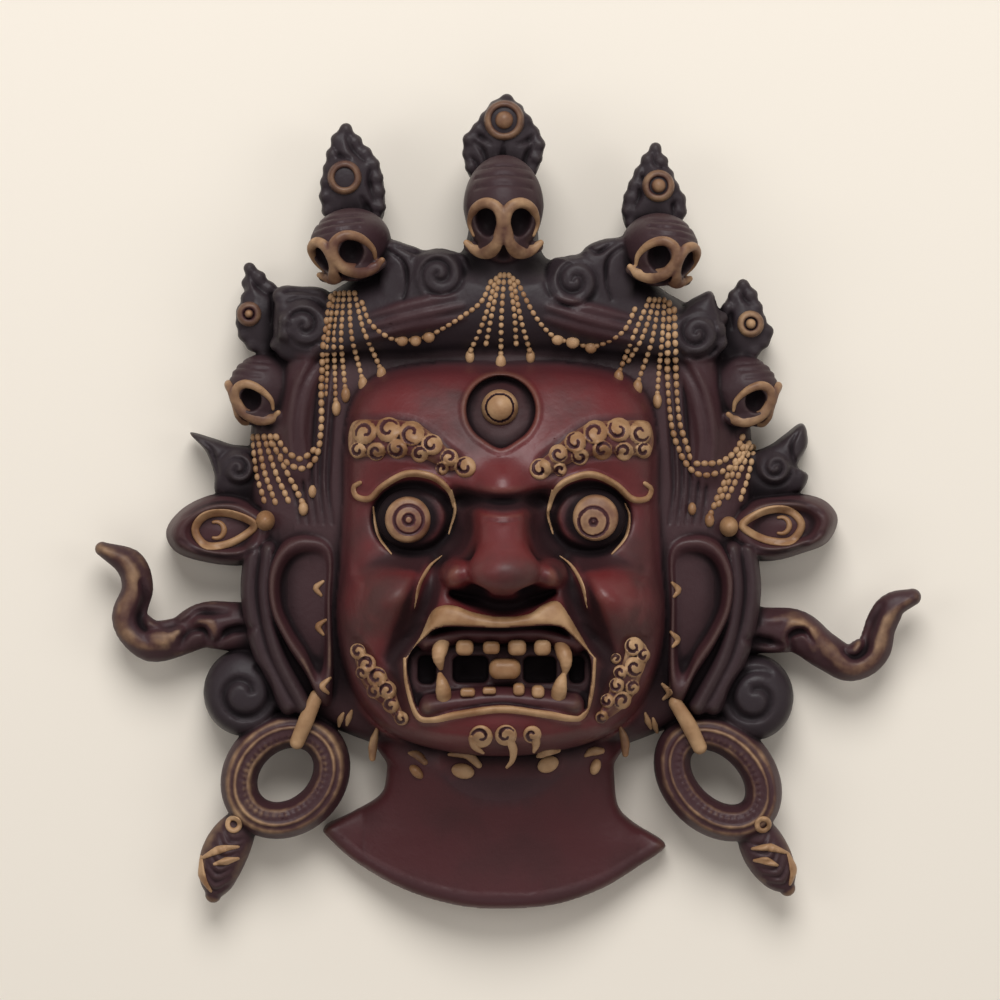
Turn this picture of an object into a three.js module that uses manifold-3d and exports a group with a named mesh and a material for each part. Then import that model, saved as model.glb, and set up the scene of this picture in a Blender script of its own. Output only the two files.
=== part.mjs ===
// A one-piece cast resin wall mask: a wrathful protector's face under a crown of five skulls, with bead strings,
// hoop earrings, scarf ends and a flared neck. It lies on its back, hollow behind: +Z is out of the face and +Y is
// towards the crown. All lengths are millimetres, and the origin is under the middle of the whole mask.
import * as THREE from "three";
import { mergeVertices } from "three/addons/utils/BufferGeometryUtils.js";
import Module from "manifold-3d";

const wasm = await Module();
wasm.setup();

// Driving dimensions
const AXIS_X = -2; // centre line of the face: the scarf ends and earrings make the whole a little lopsided
const HEAD = { back: 0, edge: 9, top: 33, bulge: 0.8 };
const FACE = { back: 4, edge: 23, top: 54, bulge: 0.8, centre: [AXIS_X, -17] };
const HOLLOW = { x: AXIS_X, y: -3, wide: 64, high: 62, deep: 38 }; // the open space behind the face
const MOUTH_FLOOR = 44; // the mouth stays 8 mm or more in front of the hollow
// Skulls: shares of the half width and of the face's height, and how finely they are divided
const SKULL = {
  around: 10, rows: 7, depth: 1.3, jawNarrowing: 0.25, eyeX: 0.42, eyeY: 0.3, noseY: 0.72,
  socket: [0.32, 0.34, 0.5], nose: [0.13, 0.24, 0.4], cut: { around: 6, rows: 3 },
};
const SLIVER = 0.8; // edges shorter than this are closed up
const SPECK = 1; // bodies smaller than this, in cubic millimetres, are not kept

// Half outlines, as distances from the centre line and heights, mirrored to whole ones
const HEAD_HALF = [
  [0, 74], [23, 73], [46, 66], [64, 56], [74, 38], [77, 15], [78, -10], [78, -30], [74, -48], [64, -62], [48, -70],
  [28, -76], [0, -78],
];
const FACE_HALF = [
  [0, 42], [20, 42], [38, 38], [46, 26], [47.5, 0], [48.5, -20], [49.5, -35], [47, -50], [41, -62], [32, -70],
  [17, -75], [0, -76.5],
];
const EAR_HALF = [
  [50, -12], [58, -8], [66, -11], [70.5, -20], [70, -32], [65, -43], [59, -52], [54, -61], [50, -56], [50, -30],
];

// Swells and dips of the face: centre, half width, half height, rise, and turn in degrees
const SWELLS = [
  { x: -29, y: 18, wide: 17, high: 7, rise: 4, turn: -12 }, // brow ridges
  { x: 25, y: 18, wide: 17, high: 7, rise: 4, turn: 12 },
  { x: -28, y: -4.5, wide: 14, high: 11, rise: -8, turn: 0 }, // eye hollows
  { x: 24.3, y: -4.5, wide: 14, high: 11, rise: -8, turn: 0 },
  { x: -1.5, y: 7, wide: 8, high: 5, rise: 5, turn: 0 }, // pad between the brows
  { x: -1.5, y: -10, wide: 9, high: 9, rise: 6, turn: 0 }, // bridge of the nose
  { x: -35, y: -28, wide: 13, high: 8.5, rise: 8, turn: 30 }, // cheeks
  { x: 31, y: -28, wide: 13, high: 8.5, rise: 8, turn: -30 },
  { x: -2, y: -35, wide: 24, high: 8, rise: 3, turn: 0 }, // upper lip
  { x: -2, y: -52, wide: 34, high: 20, rise: 7, turn: 0 }, // muzzle
  { x: -2, y: -68, wide: 26, high: 7, rise: 6, turn: 0 }, // chin
];

// Turns a geometry into a solid: shared corners merged, empty triangles dropped, faces pointing out
function solid(geometry) {
  geometry.deleteAttribute("normal");
  geometry.deleteAttribute("uv");
  const merged = mergeVertices(geometry, 1e-3);
  const corners = merged.index.array;
  const triangles = [];
  for (let i = 0; i < corners.length; i += 3) {
    const [a, b, c] = [corners[i], corners[i + 1], corners[i + 2]];
    if (a !== b && b !== c && c !== a) triangles.push([a, b, c]);
  }
  const build = (list) =>
    new wasm.Manifold(
      new wasm.Mesh({
        numProp: 3,
        vertProperties: merged.attributes.position.array,
        triVerts: new Uint32Array(list.flat()),
      }),
    );
  const made = build(triangles);
  return made.volume() > 0 ? made : build(triangles.map(([a, b, c]) => [a, c, b]));
}

const join = (solids) => solids.reduce((whole, next) => whole.add(next));

// A closed outline through [x, y] points, as evenly spaced [x, y] pairs
function outlineOf(points, count) {
  const curve = new THREE.CatmullRomCurve3(points.map(([x, y]) => new THREE.Vector3(x, y, 0)), true);
  return curve.getSpacedPoints(count).map((p) => [p.x, p.y]);
}

const mirrored = (half, axis = AXIS_X) => [
  ...half.map(([away, y]) => [axis + away, y]),
  ...half.filter(([away]) => away > 0).reverse().map(([away, y]) => [axis - away, y]),
];

const onSide = (half, side) => half.map(([away, y]) => [AXIS_X + side * away, y]);

const ellipseOutline = (x, y, wide, high, count = 12) =>
  Array.from({ length: count }, (_, i) => {
    const angle = (2 * Math.PI * i) / count;
    return [x + wide * Math.cos(angle), y + high * Math.sin(angle)];
  });

// A carved boss with a flat back, an upright edge along its outline and a rounded or ringed front: a turned profile
// whose rings are drawn out to the outline. A front is a list of [share of the way out, height] from rim to middle.
function relief(points, { back, edge, top, front, bulge = 1, centre, lift = () => 0, sectors = 14, steps = 2 }) {
  const rim = outlineOf(points, sectors);
  const average = (k) => points.reduce((sum, p) => sum + p[k], 0) / points.length;
  const [cx, cy] = centre ?? [average(0), average(1)];
  const rounded = () =>
    Array.from({ length: steps + 1 }, (_, i) => {
      const angle = (i / steps) * (Math.PI / 2);
      return [i === steps ? 0 : Math.cos(angle), edge + (top - edge) * Math.sin(angle) ** bulge];
    });
  const rings = [[0, back], [1, back], ...(front ?? rounded())];
  const geometry = new THREE.LatheGeometry(rings.map(([share, z]) => new THREE.Vector2(share, z)), sectors);
  const corner = geometry.attributes.position;
  for (let s = 0; s <= sectors; s++) {
    rings.forEach(([share, z], row) => {
      const x = cx + share * (rim[s % sectors][0] - cx);
      const y = cy + share * (rim[s % sectors][1] - cy);
      corner.setXYZ(s * rings.length + row, x, y, row > 2 ? z + lift(x, y) : z);
    });
  }
  return solid(geometry);
}

// A bar bent along a curve, with its half width and half height given along its length from 0 to 1
function bar(points, { wide, high = wide, sides = 5, steps = 6, closed = false }) {
  const curve = new THREE.CatmullRomCurve3(points.map((p) => new THREE.Vector3(...p)), closed);
  const geometry = new THREE.CylinderGeometry(1, 1, 1, sides, steps, closed);
  const corner = geometry.attributes.position;
  const up = new THREE.Vector3(0, 0, 1);
  for (let i = 0; i < corner.count; i++) {
    const along = closed ? (corner.getY(i) + 0.5) % 1 : corner.getY(i) + 0.5;
    const at = curve.getPointAt(along);
    const tangent = curve.getTangentAt(along);
    const across = new THREE.Vector3().crossVectors(up, tangent).normalize();
    const out = new THREE.Vector3().crossVectors(tangent, across);
    at.addScaledVector(across, corner.getX(i) * wide(along));
    at.addScaledVector(out, corner.getZ(i) * high(along));
    corner.setXYZ(i, at.x, at.y, at.z);
  }
  return solid(geometry);
}

const even = (size) => () => size;
const tapered = (size, tip = 0.25) => (t) => size * (tip + (1 - tip) * Math.sin(Math.PI * t) ** 0.6);
const narrowing = (size, tip) => (t) => size * (1 - (1 - tip) * t);

function ellipsoid([x, y, z], [wide, high, deep], { around = 10, rows = 6, turn = 0 } = {}) {
  const geometry = new THREE.SphereGeometry(1, around, rows).rotateX(Math.PI / 2);
  geometry.scale(wide, high, deep).rotateZ(THREE.MathUtils.degToRad(turn)).translate(x, y, z);
  return solid(geometry);
}

const swell = ({ x, y, wide, high, rise, turn }) => {
  const angle = THREE.MathUtils.degToRad(turn);
  return (px, py) => {
    const u = ((px - x) * Math.cos(angle) + (py - y) * Math.sin(angle)) / wide;
    const v = ((py - y) * Math.cos(angle) - (px - x) * Math.sin(angle)) / high;
    return rise * Math.exp(-u * u - v * v);
  };
};
const swells = SWELLS.map(swell);
const faceLift = (x, y) => swells.reduce((sum, one) => sum + one(x, y), 0);

// Height of a boss's front over a point, for what sits on it
function frontHeight(points, { edge, top, bulge, centre }, lift) {
  const rim = outlineOf(points, 180).map(([x, y]) => [x - centre[0], y - centre[1]]);
  const angles = rim.map(([x, y]) => Math.atan2(y, x));
  return (x, y) => {
    const angle = Math.atan2(y - centre[1], x - centre[0]);
    const gap = (a) => Math.abs(Math.atan2(Math.sin(a - angle), Math.cos(a - angle)));
    const nearest = angles.reduce((best, a, i) => (gap(a) < gap(angles[best]) ? i : best), 0);
    const share = Math.min(1, Math.hypot(x - centre[0], y - centre[1]) / Math.hypot(...rim[nearest]));
    return edge + (top - edge) * (1 - share * share) ** (bulge / 2) + lift(x, y);
  };
}
const faceHeight = frontHeight(mirrored(FACE_HALF), FACE, faceLift);
const onFace = (points, above) => points.map(([x, y]) => [x, y, faceHeight(x, y) + above]);

function head() {
  return relief(mirrored(HEAD_HALF), { ...HEAD, centre: [AXIS_X, -2], sectors: 22, steps: 3 });
}

function faceDome() {
  return relief(mirrored(FACE_HALF), { ...FACE, lift: faceLift, sectors: 24, steps: 7 });
}

// Eyes: a bulging ball, a disc on it and a lid line that ends in a curl
const EYES = [
  {
    ball: [-28, -4.5], disc: [-29.5, -4.8],
    lid: [[-17, 2], [-22, 7], [-30, 8.5], [-37, 5], [-41, 1.3], [-45, 2], [-44, 6]],
  },
  {
    ball: [24.3, -4.5], disc: [26, -4.2],
    lid: [[13, 1], [18, 6.5], [25, 8.3], [32, 5.5], [37, 1.3], [41.5, 1.5], [41, 6]],
  },
];
const EYE = { wide: 11.8, high: 10.2, deep: 9, discRadius: 6.8, discRise: 1.4, lidWidth: 1.2 };

function eyes() {
  return EYES.flatMap(({ ball, disc, lid }) => {
    const z = faceHeight(...ball) + 1;
    const discZ = z + EYE.deep - 2.2;
    return [
      ellipsoid([...ball, z], [EYE.wide, EYE.high, EYE.deep], { around: 10, rows: 5 }),
      relief(ellipseOutline(...disc, EYE.discRadius, EYE.discRadius), {
        back: z, edge: discZ, top: discZ + EYE.discRise, sectors: 8, steps: 1,
      }),
      bar(onFace(lid, 1.5), { wide: tapered(EYE.lidWidth), high: even(3), sides: 3, steps: 6 }),
    ];
  });
}

// The third eye: a drop-shaped pit in the forehead with a ball in it
const THIRD_EYE = { x: -2, y: 27.5, radius: 10.2, tipY: 16.8, pitDepth: 4, ball: 5.4 };

function thirdEyePit() {
  const { x, y, radius, tipY, pitDepth } = THIRD_EYE;
  const arc = Array.from({ length: 9 }, (_, i) => {
    const angle = ((-30 + i * 30) * Math.PI) / 180;
    return [x + radius * Math.cos(angle), y + radius * Math.sin(angle)];
  });
  const floor = faceHeight(x, y) - pitDepth;
  return relief([...arc, [x, tipY]], { back: floor, edge: floor + 20, top: floor + 21, sectors: 12, steps: 1 });
}

function thirdEye() {
  const { x, y, ball, pitDepth } = THIRD_EYE;
  return ellipsoid([x, y, faceHeight(x, y) - pitDepth], [ball, ball, pitDepth + 2.5], { around: 8, rows: 4 });
}

// Brows: thick plates that narrow towards the nose and end in a curl
const BROWS = [
  {
    outline: [[-46.5, 24.5], [-38, 25.5], [-30, 25], [-24, 23], [-18, 17.5], [-14, 13.5], [-15, 8.8], [-20, 10.2],
      [-26, 13], [-36, 14], [-46.5, 13.5]],
    centre: [-29, 18.5], curl: [-12.6, 11],
  },
  {
    outline: [[42.5, 24.5], [34, 25], [25, 24.5], [19, 21.5], [13, 16.5], [9, 12.5], [11, 7], [16, 10], [22, 13],
      [32, 14.2], [42.5, 14]],
    centre: [25, 18.5], curl: [9.3, 10],
  },
];
const BROW = { rise: 4, curlRadius: 3.3 };

function brows() {
  return BROWS.flatMap(({ outline, centre, curl }) => {
    const z = faceHeight(...centre);
    const lift = (x, y) => faceHeight(x, y) - z;
    const plate = { back: z - 12, edge: z - 2.5, top: z + BROW.rise, bulge: 0.5, centre, lift };
    return [
      relief(outline, { ...plate, sectors: 16, steps: 2 }),
      ellipsoid([...curl, faceHeight(...curl) + 1], [BROW.curlRadius, BROW.curlRadius, 4], { around: 6, rows: 4 }),
    ];
  });
}

function nose() {
  return [
    ellipsoid([-1.4, -9, 56], [7.6, 10, 9.5], { around: 8 }), // bridge
    ellipsoid([-1.2, -19.5, 61], [11.6, 7, 14.5], { around: 10, rows: 6 }), // tip
    ellipsoid([-15.6, -21, 57], [5.4, 5, 8.5], { around: 8, rows: 6 }), // wings
    ellipsoid([12.9, -21, 57], [5.4, 5, 8.5], { around: 8, rows: 6 }),
  ];
}

// Mouth: an open snarl with a lip line round it, two rows of teeth and the tip of the tongue
const MOUTH = [
  [-29.5, -46], [-24, -39], [-18, -36.3], [-2, -36.6], [13.5, -36], [19, -39], [24.5, -46], [24, -57], [22, -62],
  [10, -61], [-2, -59.5], [-15, -61.3], [-25, -63], [-28.5, -55],
];
const UPPER_LIP = [
  [-30.5, -46], [-25.5, -38.5], [-20, -32.7], [-10, -33.6], [-1, -34.7], [8, -33.2], [14.5, -31.7], [20.5, -37.5],
  [26, -45.5],
];
const LOWER_LIP = [
  [-30.5, -46], [-29.5, -54], [-26.5, -62.7], [-15, -62.2], [-2, -60.4], [10, -61.9], [21.8, -63], [24.7, -56],
  [25.8, -46],
];
const LIP = { upper: 2.3, lower: 1.1, high: 4 };
const GUMS = [
  { line: [[-24, -41], [-13, -38.6], [-2, -38.8], [9, -38.5], [20.5, -41.5]], wide: 2.9 },
  { line: [[-23, -60], [-13, -58.6], [-2, -57.6], [8, -58.4], [19.5, -59.6]], wide: 3.4 },
];
const TEETH = [
  // x, y, half width, half height
  [-20.3, -45, 1.9, 4.2], [-13, -42.4, 2.3, 2], [-5, -42.6, 2.3, 1.8], [2.8, -42.5, 2.3, 1.9], [10, -42.5, 2.2, 2],
  [17.1, -46, 1.7, 4.4], [-19, -54, 2, 3.6], [-12, -55.9, 2.1, 1.2], [-5.2, -55.5, 1.9, 1], [3.2, -55.2, 1.6, 1.6],
  [9, -55.9, 1.7, 1.6], [15.5, -53.8, 1.8, 3.4],
];
const TONGUE = { x: -0.8, y: -49, wide: 4.7, high: 3 };

function mouthOpening() {
  return relief(MOUTH, { back: MOUTH_FLOOR, edge: 80, top: 81, centre: [-2, -49], sectors: 18, steps: 1 });
}

function mouth() {
  const atLevel = (line, z) => line.map(([x, y]) => [x, y, z]);
  const toothZ = MOUTH_FLOOR + 3;
  return [
    bar(onFace(UPPER_LIP, 0), { wide: tapered(LIP.upper), high: even(LIP.high), sides: 4, steps: 9 }),
    bar(onFace(LOWER_LIP, 0), { wide: even(LIP.lower), high: even(LIP.high), sides: 4, steps: 9 }),
    ...GUMS.map(({ line, wide }) =>
      bar(atLevel(line, MOUTH_FLOOR), { wide: even(wide), high: even(8), sides: 4, steps: 4 }),
    ),
    ...TEETH.map(([x, y, wide, high]) => ellipsoid([x, y, toothZ], [wide, high, 7.5], { around: 5, rows: 3 })),
    ellipsoid([TONGUE.x, TONGUE.y, toothZ - 2], [TONGUE.wide, TONGUE.high, 6.5], { around: 6, rows: 3 }),
  ];
}

// Beard: curls beside the mouth and under the lip
const CURLS = [
  // x, y, radius
  [-43.5, -46.5, 3], [-38.5, -53, 3], [-33, -62.5, 2.6], [38.5, -46.5, 3.2], [33.5, -55.5, 3], [28.5, -62, 2.4],
  [-7.5, -68.5, 2.8], [0, -68.5, 2.6], [7.5, -68.5, 2.4],
];
function beard() {
  return CURLS.map(([x, y, radius]) =>
    ellipsoid([x, y, faceHeight(x, y)], [radius, radius, 2.5], { around: 6, rows: 3 }),
  );
}

// Ears with a long lobe and a rolled rim round a hollow, and hair behind them
const EAR = { back: 4, front: [[1, 22], [0.86, 29], [0.68, 28], [0.48, 21], [0, 20]], centre: [59, -29] };
const HAIR = [[72.5, -14], [73.5, -28], [70, -45], [62, -61]];

function ears() {
  return [-1, 1].flatMap((side) => [
    relief(onSide(EAR_HALF, side), { ...EAR, centre: onSide([EAR.centre], side)[0], sectors: 12 }),
    bar(onSide(HAIR, side).map(([x, y]) => [x, y, 16]), { wide: even(4.6), high: even(9), sides: 5, steps: 3 }),
  ]);
}

// Side flowers: a rounded petal with a raised ring on it and a round knot
const FLOWERS = [
  {
    petal: [[-68, -6], [-78, 1.5], [-88, 3], [-98, -1], [-103.6, -8], [-101, -14.5], [-92, -17.8], [-80, -18.8],
      [-71, -15]],
    knot: [-73, -5.2],
  },
  {
    petal: [[64, -7], [72, 1], [84, 3.2], [94, 2], [99, -1.5], [100.3, -6], [97, -12], [90, -15], [80, -17.5],
      [69, -16]],
    knot: [66.7, -7],
  },
];

const PETAL = { back: 3, front: [[1, 13], [0.82, 22], [0.66, 24], [0.48, 20], [0, 21]] };

function flowers() {
  return FLOWERS.flatMap(({ petal, knot }) => [
    relief(petal, { ...PETAL, sectors: 12 }),
    ellipsoid([...knot, 22], [2.9, 3.1, 6], { around: 6, rows: 3 }),
  ]);
}

// Crown: a cap over the brow, flame-shaped finials with a boss, scrolled leaves and five skulls
const FINIALS = [
  {
    outline: [[0, 122.7], [5, 118], [9.5, 111.5], [11, 107], [7.5, 98], [-1, 94], [-11, 98], [-13.3, 108.5],
      [-10, 113.5], [-4.5, 120.3]],
    boss: [-1, 115.3, 5.2], centre: [-1, 108], back: 18, top: 33,
  },
  {
    outline: [[-48.7, 114.4], [-44, 109], [-39.5, 104], [-37.4, 96], [-38, 86], [-46, 80], [-54.5, 86], [-56.4, 94],
      [-54.5, 104], [-51.8, 111.5]],
    boss: [-49, 98, 4.9], centre: [-47.5, 97], back: 12, top: 27,
  },
  {
    outline: [[44.7, 108.6], [47.5, 103.5], [52, 94.5], [54, 89.5], [51, 82], [44, 78], [37, 82], [34.7, 89],
      [36.8, 96.5], [41, 104]],
    boss: [45.6, 95.5, 4.6], centre: [44.5, 92], back: 12, top: 27,
  },
  {
    outline: [[-78.4, 72.6], [-73, 68], [-67, 62], [-66, 50], [-74, 45], [-80.5, 49.5], [-81.9, 57], [-79.8, 63]],
    boss: [-78, 57.2, 3.9], centre: [-75, 56], back: 4, top: 21,
  },
  {
    outline: [[71.3, 67.6], [75.5, 62.5], [78, 55.5], [80.2, 50.3], [74, 44], [66, 44], [62, 52], [65.5, 60]],
    boss: [73.4, 54.2, 4.2], centre: [71, 54], back: 4, top: 21,
  },
];
const LEAVES = [
  {
    outline: [[-37, 78], [-29, 77.6], [-22, 74.6], [-12, 74], [-10, 60], [-24, 55], [-38, 60]],
    swirl: [-20.5, 68.5, 8], back: 6, top: 37,
  },
  {
    outline: [[13, 73], [20, 72.7], [24, 77.5], [31, 79.8], [38, 78], [37, 60], [22, 55], [10, 60]],
    swirl: [20, 66.5, 8], back: 6, top: 37,
  },
  {
    outline: [[-70, 64], [-62, 65.6], [-54, 64], [-51, 54], [-54, 44], [-63, 42], [-70, 46]],
    swirl: [-61, 53.5, 8], back: 4, top: 29,
  },
  {
    outline: [[53.5, 60], [58, 63], [61.6, 64.2], [63.4, 60], [66, 50], [62, 43], [52, 42], [49, 52]],
    swirl: [56.8, 51, 7.5], back: 4, top: 29,
  },
  {
    outline: [[-96.8, 21.6], [-90, 20], [-84, 18], [-75, 16], [-71, 6], [-78, 0], [-88.3, 2.5], [-89.3, 9],
      [-92, 16]],
    swirl: [-81.5, 10.5, 5.5], back: 3, top: 17,
  },
  {
    outline: [[90, 24.5], [84.5, 21], [79, 17], [71, 14], [68, 4], [78, 0], [88.5, 3], [91.7, 8.5], [88.3, 11.5],
      [91.5, 18]],
    swirl: [81, 11, 5.5], back: 3, top: 17,
  },
];
const SKULLS = [
  // place, turn to the side in degrees, width, height of the brain case, and how far the face reaches below it
  { at: [-1.2, 88.5, 38], yaw: 0, wide: 24, high: 31, face: 17 },
  { at: [-47, 78, 32], yaw: -24, wide: 23, high: 21, face: 11.5 },
  { at: [45.5, 76.5, 32], yaw: 24, wide: 22, high: 21, face: 11.5 },
  { at: [-72.5, 35, 16], yaw: -50, wide: 20, high: 21, face: 12 },
  { at: [70, 34.5, 16], yaw: 50, wide: 20, high: 21, face: 12 },
];

// A skull: a drawn-out ball that narrows to the jaw, with eye sockets and a nose cut into it
function skull({ at, yaw, wide, high, face }) {
  const half = wide / 2;
  const deep = half * SKULL.depth;
  const geometry = new THREE.SphereGeometry(1, SKULL.around, SKULL.rows);
  const corner = geometry.attributes.position;
  for (let i = 0; i < corner.count; i++) {
    const [x, y, z] = [corner.getX(i), corner.getY(i), corner.getZ(i)];
    const jaw = 1 - SKULL.jawNarrowing * Math.max(0, -y);
    corner.setXYZ(i, x * half * jaw, y * (y > 0 ? high / 2 : face), z * deep);
  }
  const [eyeX, eyeY, noseY] = [half * SKULL.eyeX, -face * SKULL.eyeY, -face * SKULL.noseY];
  const socket = (x) => ellipsoid([x, eyeY, deep * 0.9], SKULL.socket.map((share) => share * half), SKULL.cut);
  const nose = ellipsoid([0, noseY, deep * 0.72], SKULL.nose.map((share) => share * half), SKULL.cut);
  const bone = [socket(-eyeX), socket(eyeX), nose].reduce((whole, cut) => whole.subtract(cut), solid(geometry));
  return bone.rotate([0, yaw, 0]).translate(at);
}

// The crown's cap, behind the skulls and leaves and down both sides of the brow
const CAP = [
  [-64, 44], [-66, 52], [-56, 62], [-36, 73], [-15, 75], [-10, 92], [-1, 97], [8, 92], [12, 74], [34, 72], [53, 60],
  [62, 50], [60, 43], [44, 43], [22, 44], [-2, 45], [-26, 44], [-48, 44],
];
const CAP_FORM = { back: 5, edge: 24, top: 40, bulge: 1.4, centre: [-1.5, 62] };
const CAP_SIDE = { line: [[57, 48], [60.5, 36], [62, 24], [61.5, 11]], z: 19, wide: 6, high: 8.5 };

function crown() {
  const cap = relief(CAP, { ...CAP_FORM, sectors: 20, steps: 2 });
  const sides = [-1, 1].map((side) => {
    const line = onSide(CAP_SIDE.line, side).map(([x, y]) => [x, y, CAP_SIDE.z]);
    return bar(line, { wide: even(CAP_SIDE.wide), high: even(CAP_SIDE.high), sides: 4, steps: 2 });
  });
  const finials = FINIALS.flatMap(({ outline, boss: [x, y, radius], centre, back, top }) => [
    relief(outline, { back, edge: top - 8, top, bulge: 0.7, centre, sectors: 12 }),
    relief(ellipseOutline(x, y, radius, radius), { back, edge: top + 1, top: top + 3, sectors: 8, steps: 1 }),
  ]);
  const leaves = LEAVES.flatMap(({ outline, swirl: [x, y, radius], back, top }) => [
    relief(outline, { back, edge: top - 7, top, bulge: 0.6, steps: 1 }),
    relief(ellipseOutline(x, y, radius, radius), {
      back, front: [[1, top - 3], [0.7, top + 3], [0, top]], sectors: 8,
    }),
  ]);
  return [cap, ...sides, ...finials, ...leaves, ...SKULLS.map(skull)];
}

// Bead strings, each from its top to its end
const STRINGS = [
  // swags over the brow
  [[-5, 66], [-8, 60], [-14, 55.5], [-20, 52], [-27, 49], [-33, 49.5], [-40, 54], [-43, 60]],
  [[3, 66], [7, 58], [11, 52.5], [16, 49], [23, 47], [30, 48.5], [35, 52], [38, 58]],
  [[-3, 64], [-7, 54], [-11, 44]], // below the middle skull
  [[-1, 64], [-2, 55], [-2, 42]],
  [[1, 64], [4, 54], [6.6, 44]],
  // below the side skulls
  [[-53, 60], [-55, 50], [-56, 36], [-56, 24], [-57.5, 14], [-62, 10.5], [-67, 13], [-71, 18]],
  [[-50, 60], [-52, 46], [-52, 30]],
  [[-47.5, 60], [-46, 48], [-43.6, 36]],
  [[-45, 60], [-42, 51], [-38, 40]],
  [[48.5, 60], [48.4, 44], [49.5, 26], [52, 14], [57, 9], [64, 9.5], [70, 13], [73, 18]],
  [[46, 60], [44.8, 46], [44.5, 32]],
  [[43.5, 60], [41.5, 48], [39, 36]],
  [[41, 60], [37.5, 50], [33.5, 39]],
  [[-75, 19], [-69, 8], [-62, -1]], // below the outer skulls
  [[73, 17], [67, 6], [61, -4]],
];
const STRING = { wide: 1, high: 3.4, sink: 1, spacing: 11 };

// Heights on a solid's front, found by looking straight down on it
function frontOf(made) {
  const target = new THREE.Mesh(geometryOf(made));
  const ray = new THREE.Raycaster();
  const down = new THREE.Vector3(0, 0, -1);
  return (x, y) => {
    ray.set(new THREE.Vector3(x, y, 200), down);
    return ray.intersectObject(target)[0].point.z;
  };
}

// Strings lie on what is under them
function strings(base) {
  const height = frontOf(base);
  return STRINGS.map((line) => {
    const curve = new THREE.CatmullRomCurve3(line.map(([x, y]) => new THREE.Vector3(x, y, 0)));
    const steps = Math.ceil(curve.getLength() / STRING.spacing);
    const path = curve.getSpacedPoints(steps).map(({ x, y }) => [x, y, height(x, y) - STRING.sink]);
    return bar(path, { wide: even(STRING.wide), high: even(STRING.high), sides: 3, steps });
  });
}

// Scarf ends: flattened ribbons that curl out from behind the ears, over a scrolled lobe
const SCARVES = [
  {
    line: [[-72, -38], [-82, -37.5], [-92, -37], [-100, -40.5], [-108.5, -41.5], [-114.5, -35], [-112.3, -26],
      [-114.5, -18.5], [-123, -13.8]],
    widths: [8.2, 7.6, 7.2, 5.8, 6.4, 5.6, 4.8, 4.6, 2.2],
    lobe: [-80, -57.5, 12.6],
  },
  {
    line: [[69, -38], [78, -38.5], [88, -39], [96, -44.5], [103.8, -48.4], [110.8, -44.5], [113.2, -37], [117, -31],
      [123, -28.4]],
    widths: [8.2, 7, 6.8, 5.8, 5.4, 5.8, 5, 4.6, 2.6],
    lobe: [74.8, -59, 12.4],
  },
];
const SCARF = { z: 12, thick: 6.5, lobe: { back: 2, edge: 12, top: 22, bulge: 0.7 } };

function scarves() {
  return SCARVES.flatMap(({ line, widths, lobe: [x, y, radius] }) => {
    const width = (t) => {
      const at = Math.min(t * (widths.length - 1), widths.length - 1.001);
      const i = Math.floor(at);
      return widths[i] + (widths[i + 1] - widths[i]) * (at - i);
    };
    const flat = (z) => line.map(([px, py]) => [px, py, z]);
    return [
      bar(flat(SCARF.z), { wide: width, high: narrowing(SCARF.thick, 0.6), sides: 5, steps: 13 }),
      relief(ellipseOutline(x, y, radius, radius + 0.8), { ...SCARF.lobe, sectors: 12, steps: 2 }),
    ];
  });
}

// Earrings: tilted hoops with raised lines, a strap over the top and a drop-shaped head hanging below
const EARRINGS = [
  {
    centre: [-67.3, -82.3], long: 15.2, short: 12.6, turn: 42,
    strap: [[-57.5, -58], [-60.5, -65], [-63.5, -72]], drop: [[-79, -94], [-86, -106.5], [-89.3, -118.8]],
  },
  {
    centre: [63.8, -83], long: 16, short: 11.4, turn: -45,
    strap: [[50.5, -60], [54.5, -66.5], [58, -73.5]], drop: [[72.5, -94.5], [78.5, -106], [85, -116.8]],
  },
];
const EARRING = { z: 14, wide: 5.6, high: 7.5, dropWide: 7, dropHigh: 7.5 };

function earrings() {
  return EARRINGS.flatMap(({ centre: [x, y], long, short, turn, strap, drop }) => {
    const angle = THREE.MathUtils.degToRad(turn);
    const [c, s] = [Math.cos(angle), Math.sin(angle)];
    const tilted = ([u, v]) => [x + u * c - v * s, y + u * s + v * c, EARRING.z];
    const loop = ellipseOutline(0, 0, long, short).map(tilted);
    const dropHigh = tapered(EARRING.dropHigh, 0.4);
    const at = (line, z) => line.map(([px, py]) => [px, py, z]);
    return [
      bar(loop, { wide: even(EARRING.wide), high: even(EARRING.high), sides: 6, steps: 12, closed: true }),
      bar(at(strap, 22), { wide: even(2.1), high: even(5), sides: 4, steps: 2 }),
      bar(at(drop, 12), { wide: tapered(EARRING.dropWide, 0.35), high: dropHigh, sides: 6, steps: 5 }),
    ];
  });
}

// Neck, flaring to a crescent rim
const NECK = [
  [-36, -68], [-36.5, -80], [-38.5, -88.5], [-47, -94], [-55.6, -98.4], [-54.5, -101.8], [-45, -110], [-31, -117.3],
  [-16, -121.6], [-3, -122.7], [14, -121.6], [29, -116.8], [41, -109.8], [47.4, -105.4], [47.2, -102.8], [38, -97],
  [33.5, -91.5], [32.3, -80], [32, -68],
];
const NECK_FORM = { back: 0, edge: 10, top: 12, centre: [-3, -101], throat: 20, rim: 8 };

function neck() {
  const { throat, rim } = NECK_FORM;
  const lift = (x, y) => {
    const round = Math.max(0, 1 - ((x - AXIS_X) / 42) ** 2);
    const high = THREE.MathUtils.smoothstep(y, -122, -76);
    return round * (rim + (throat - rim) * high * high);
  };
  return relief(NECK, { ...NECK_FORM, lift, sectors: 28, steps: 3 });
}

function hollow() {
  const { x, y, wide, high, deep } = HOLLOW;
  return ellipsoid([x, y, 0], [wide, high, deep], { around: 16, rows: 8 });
}

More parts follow.
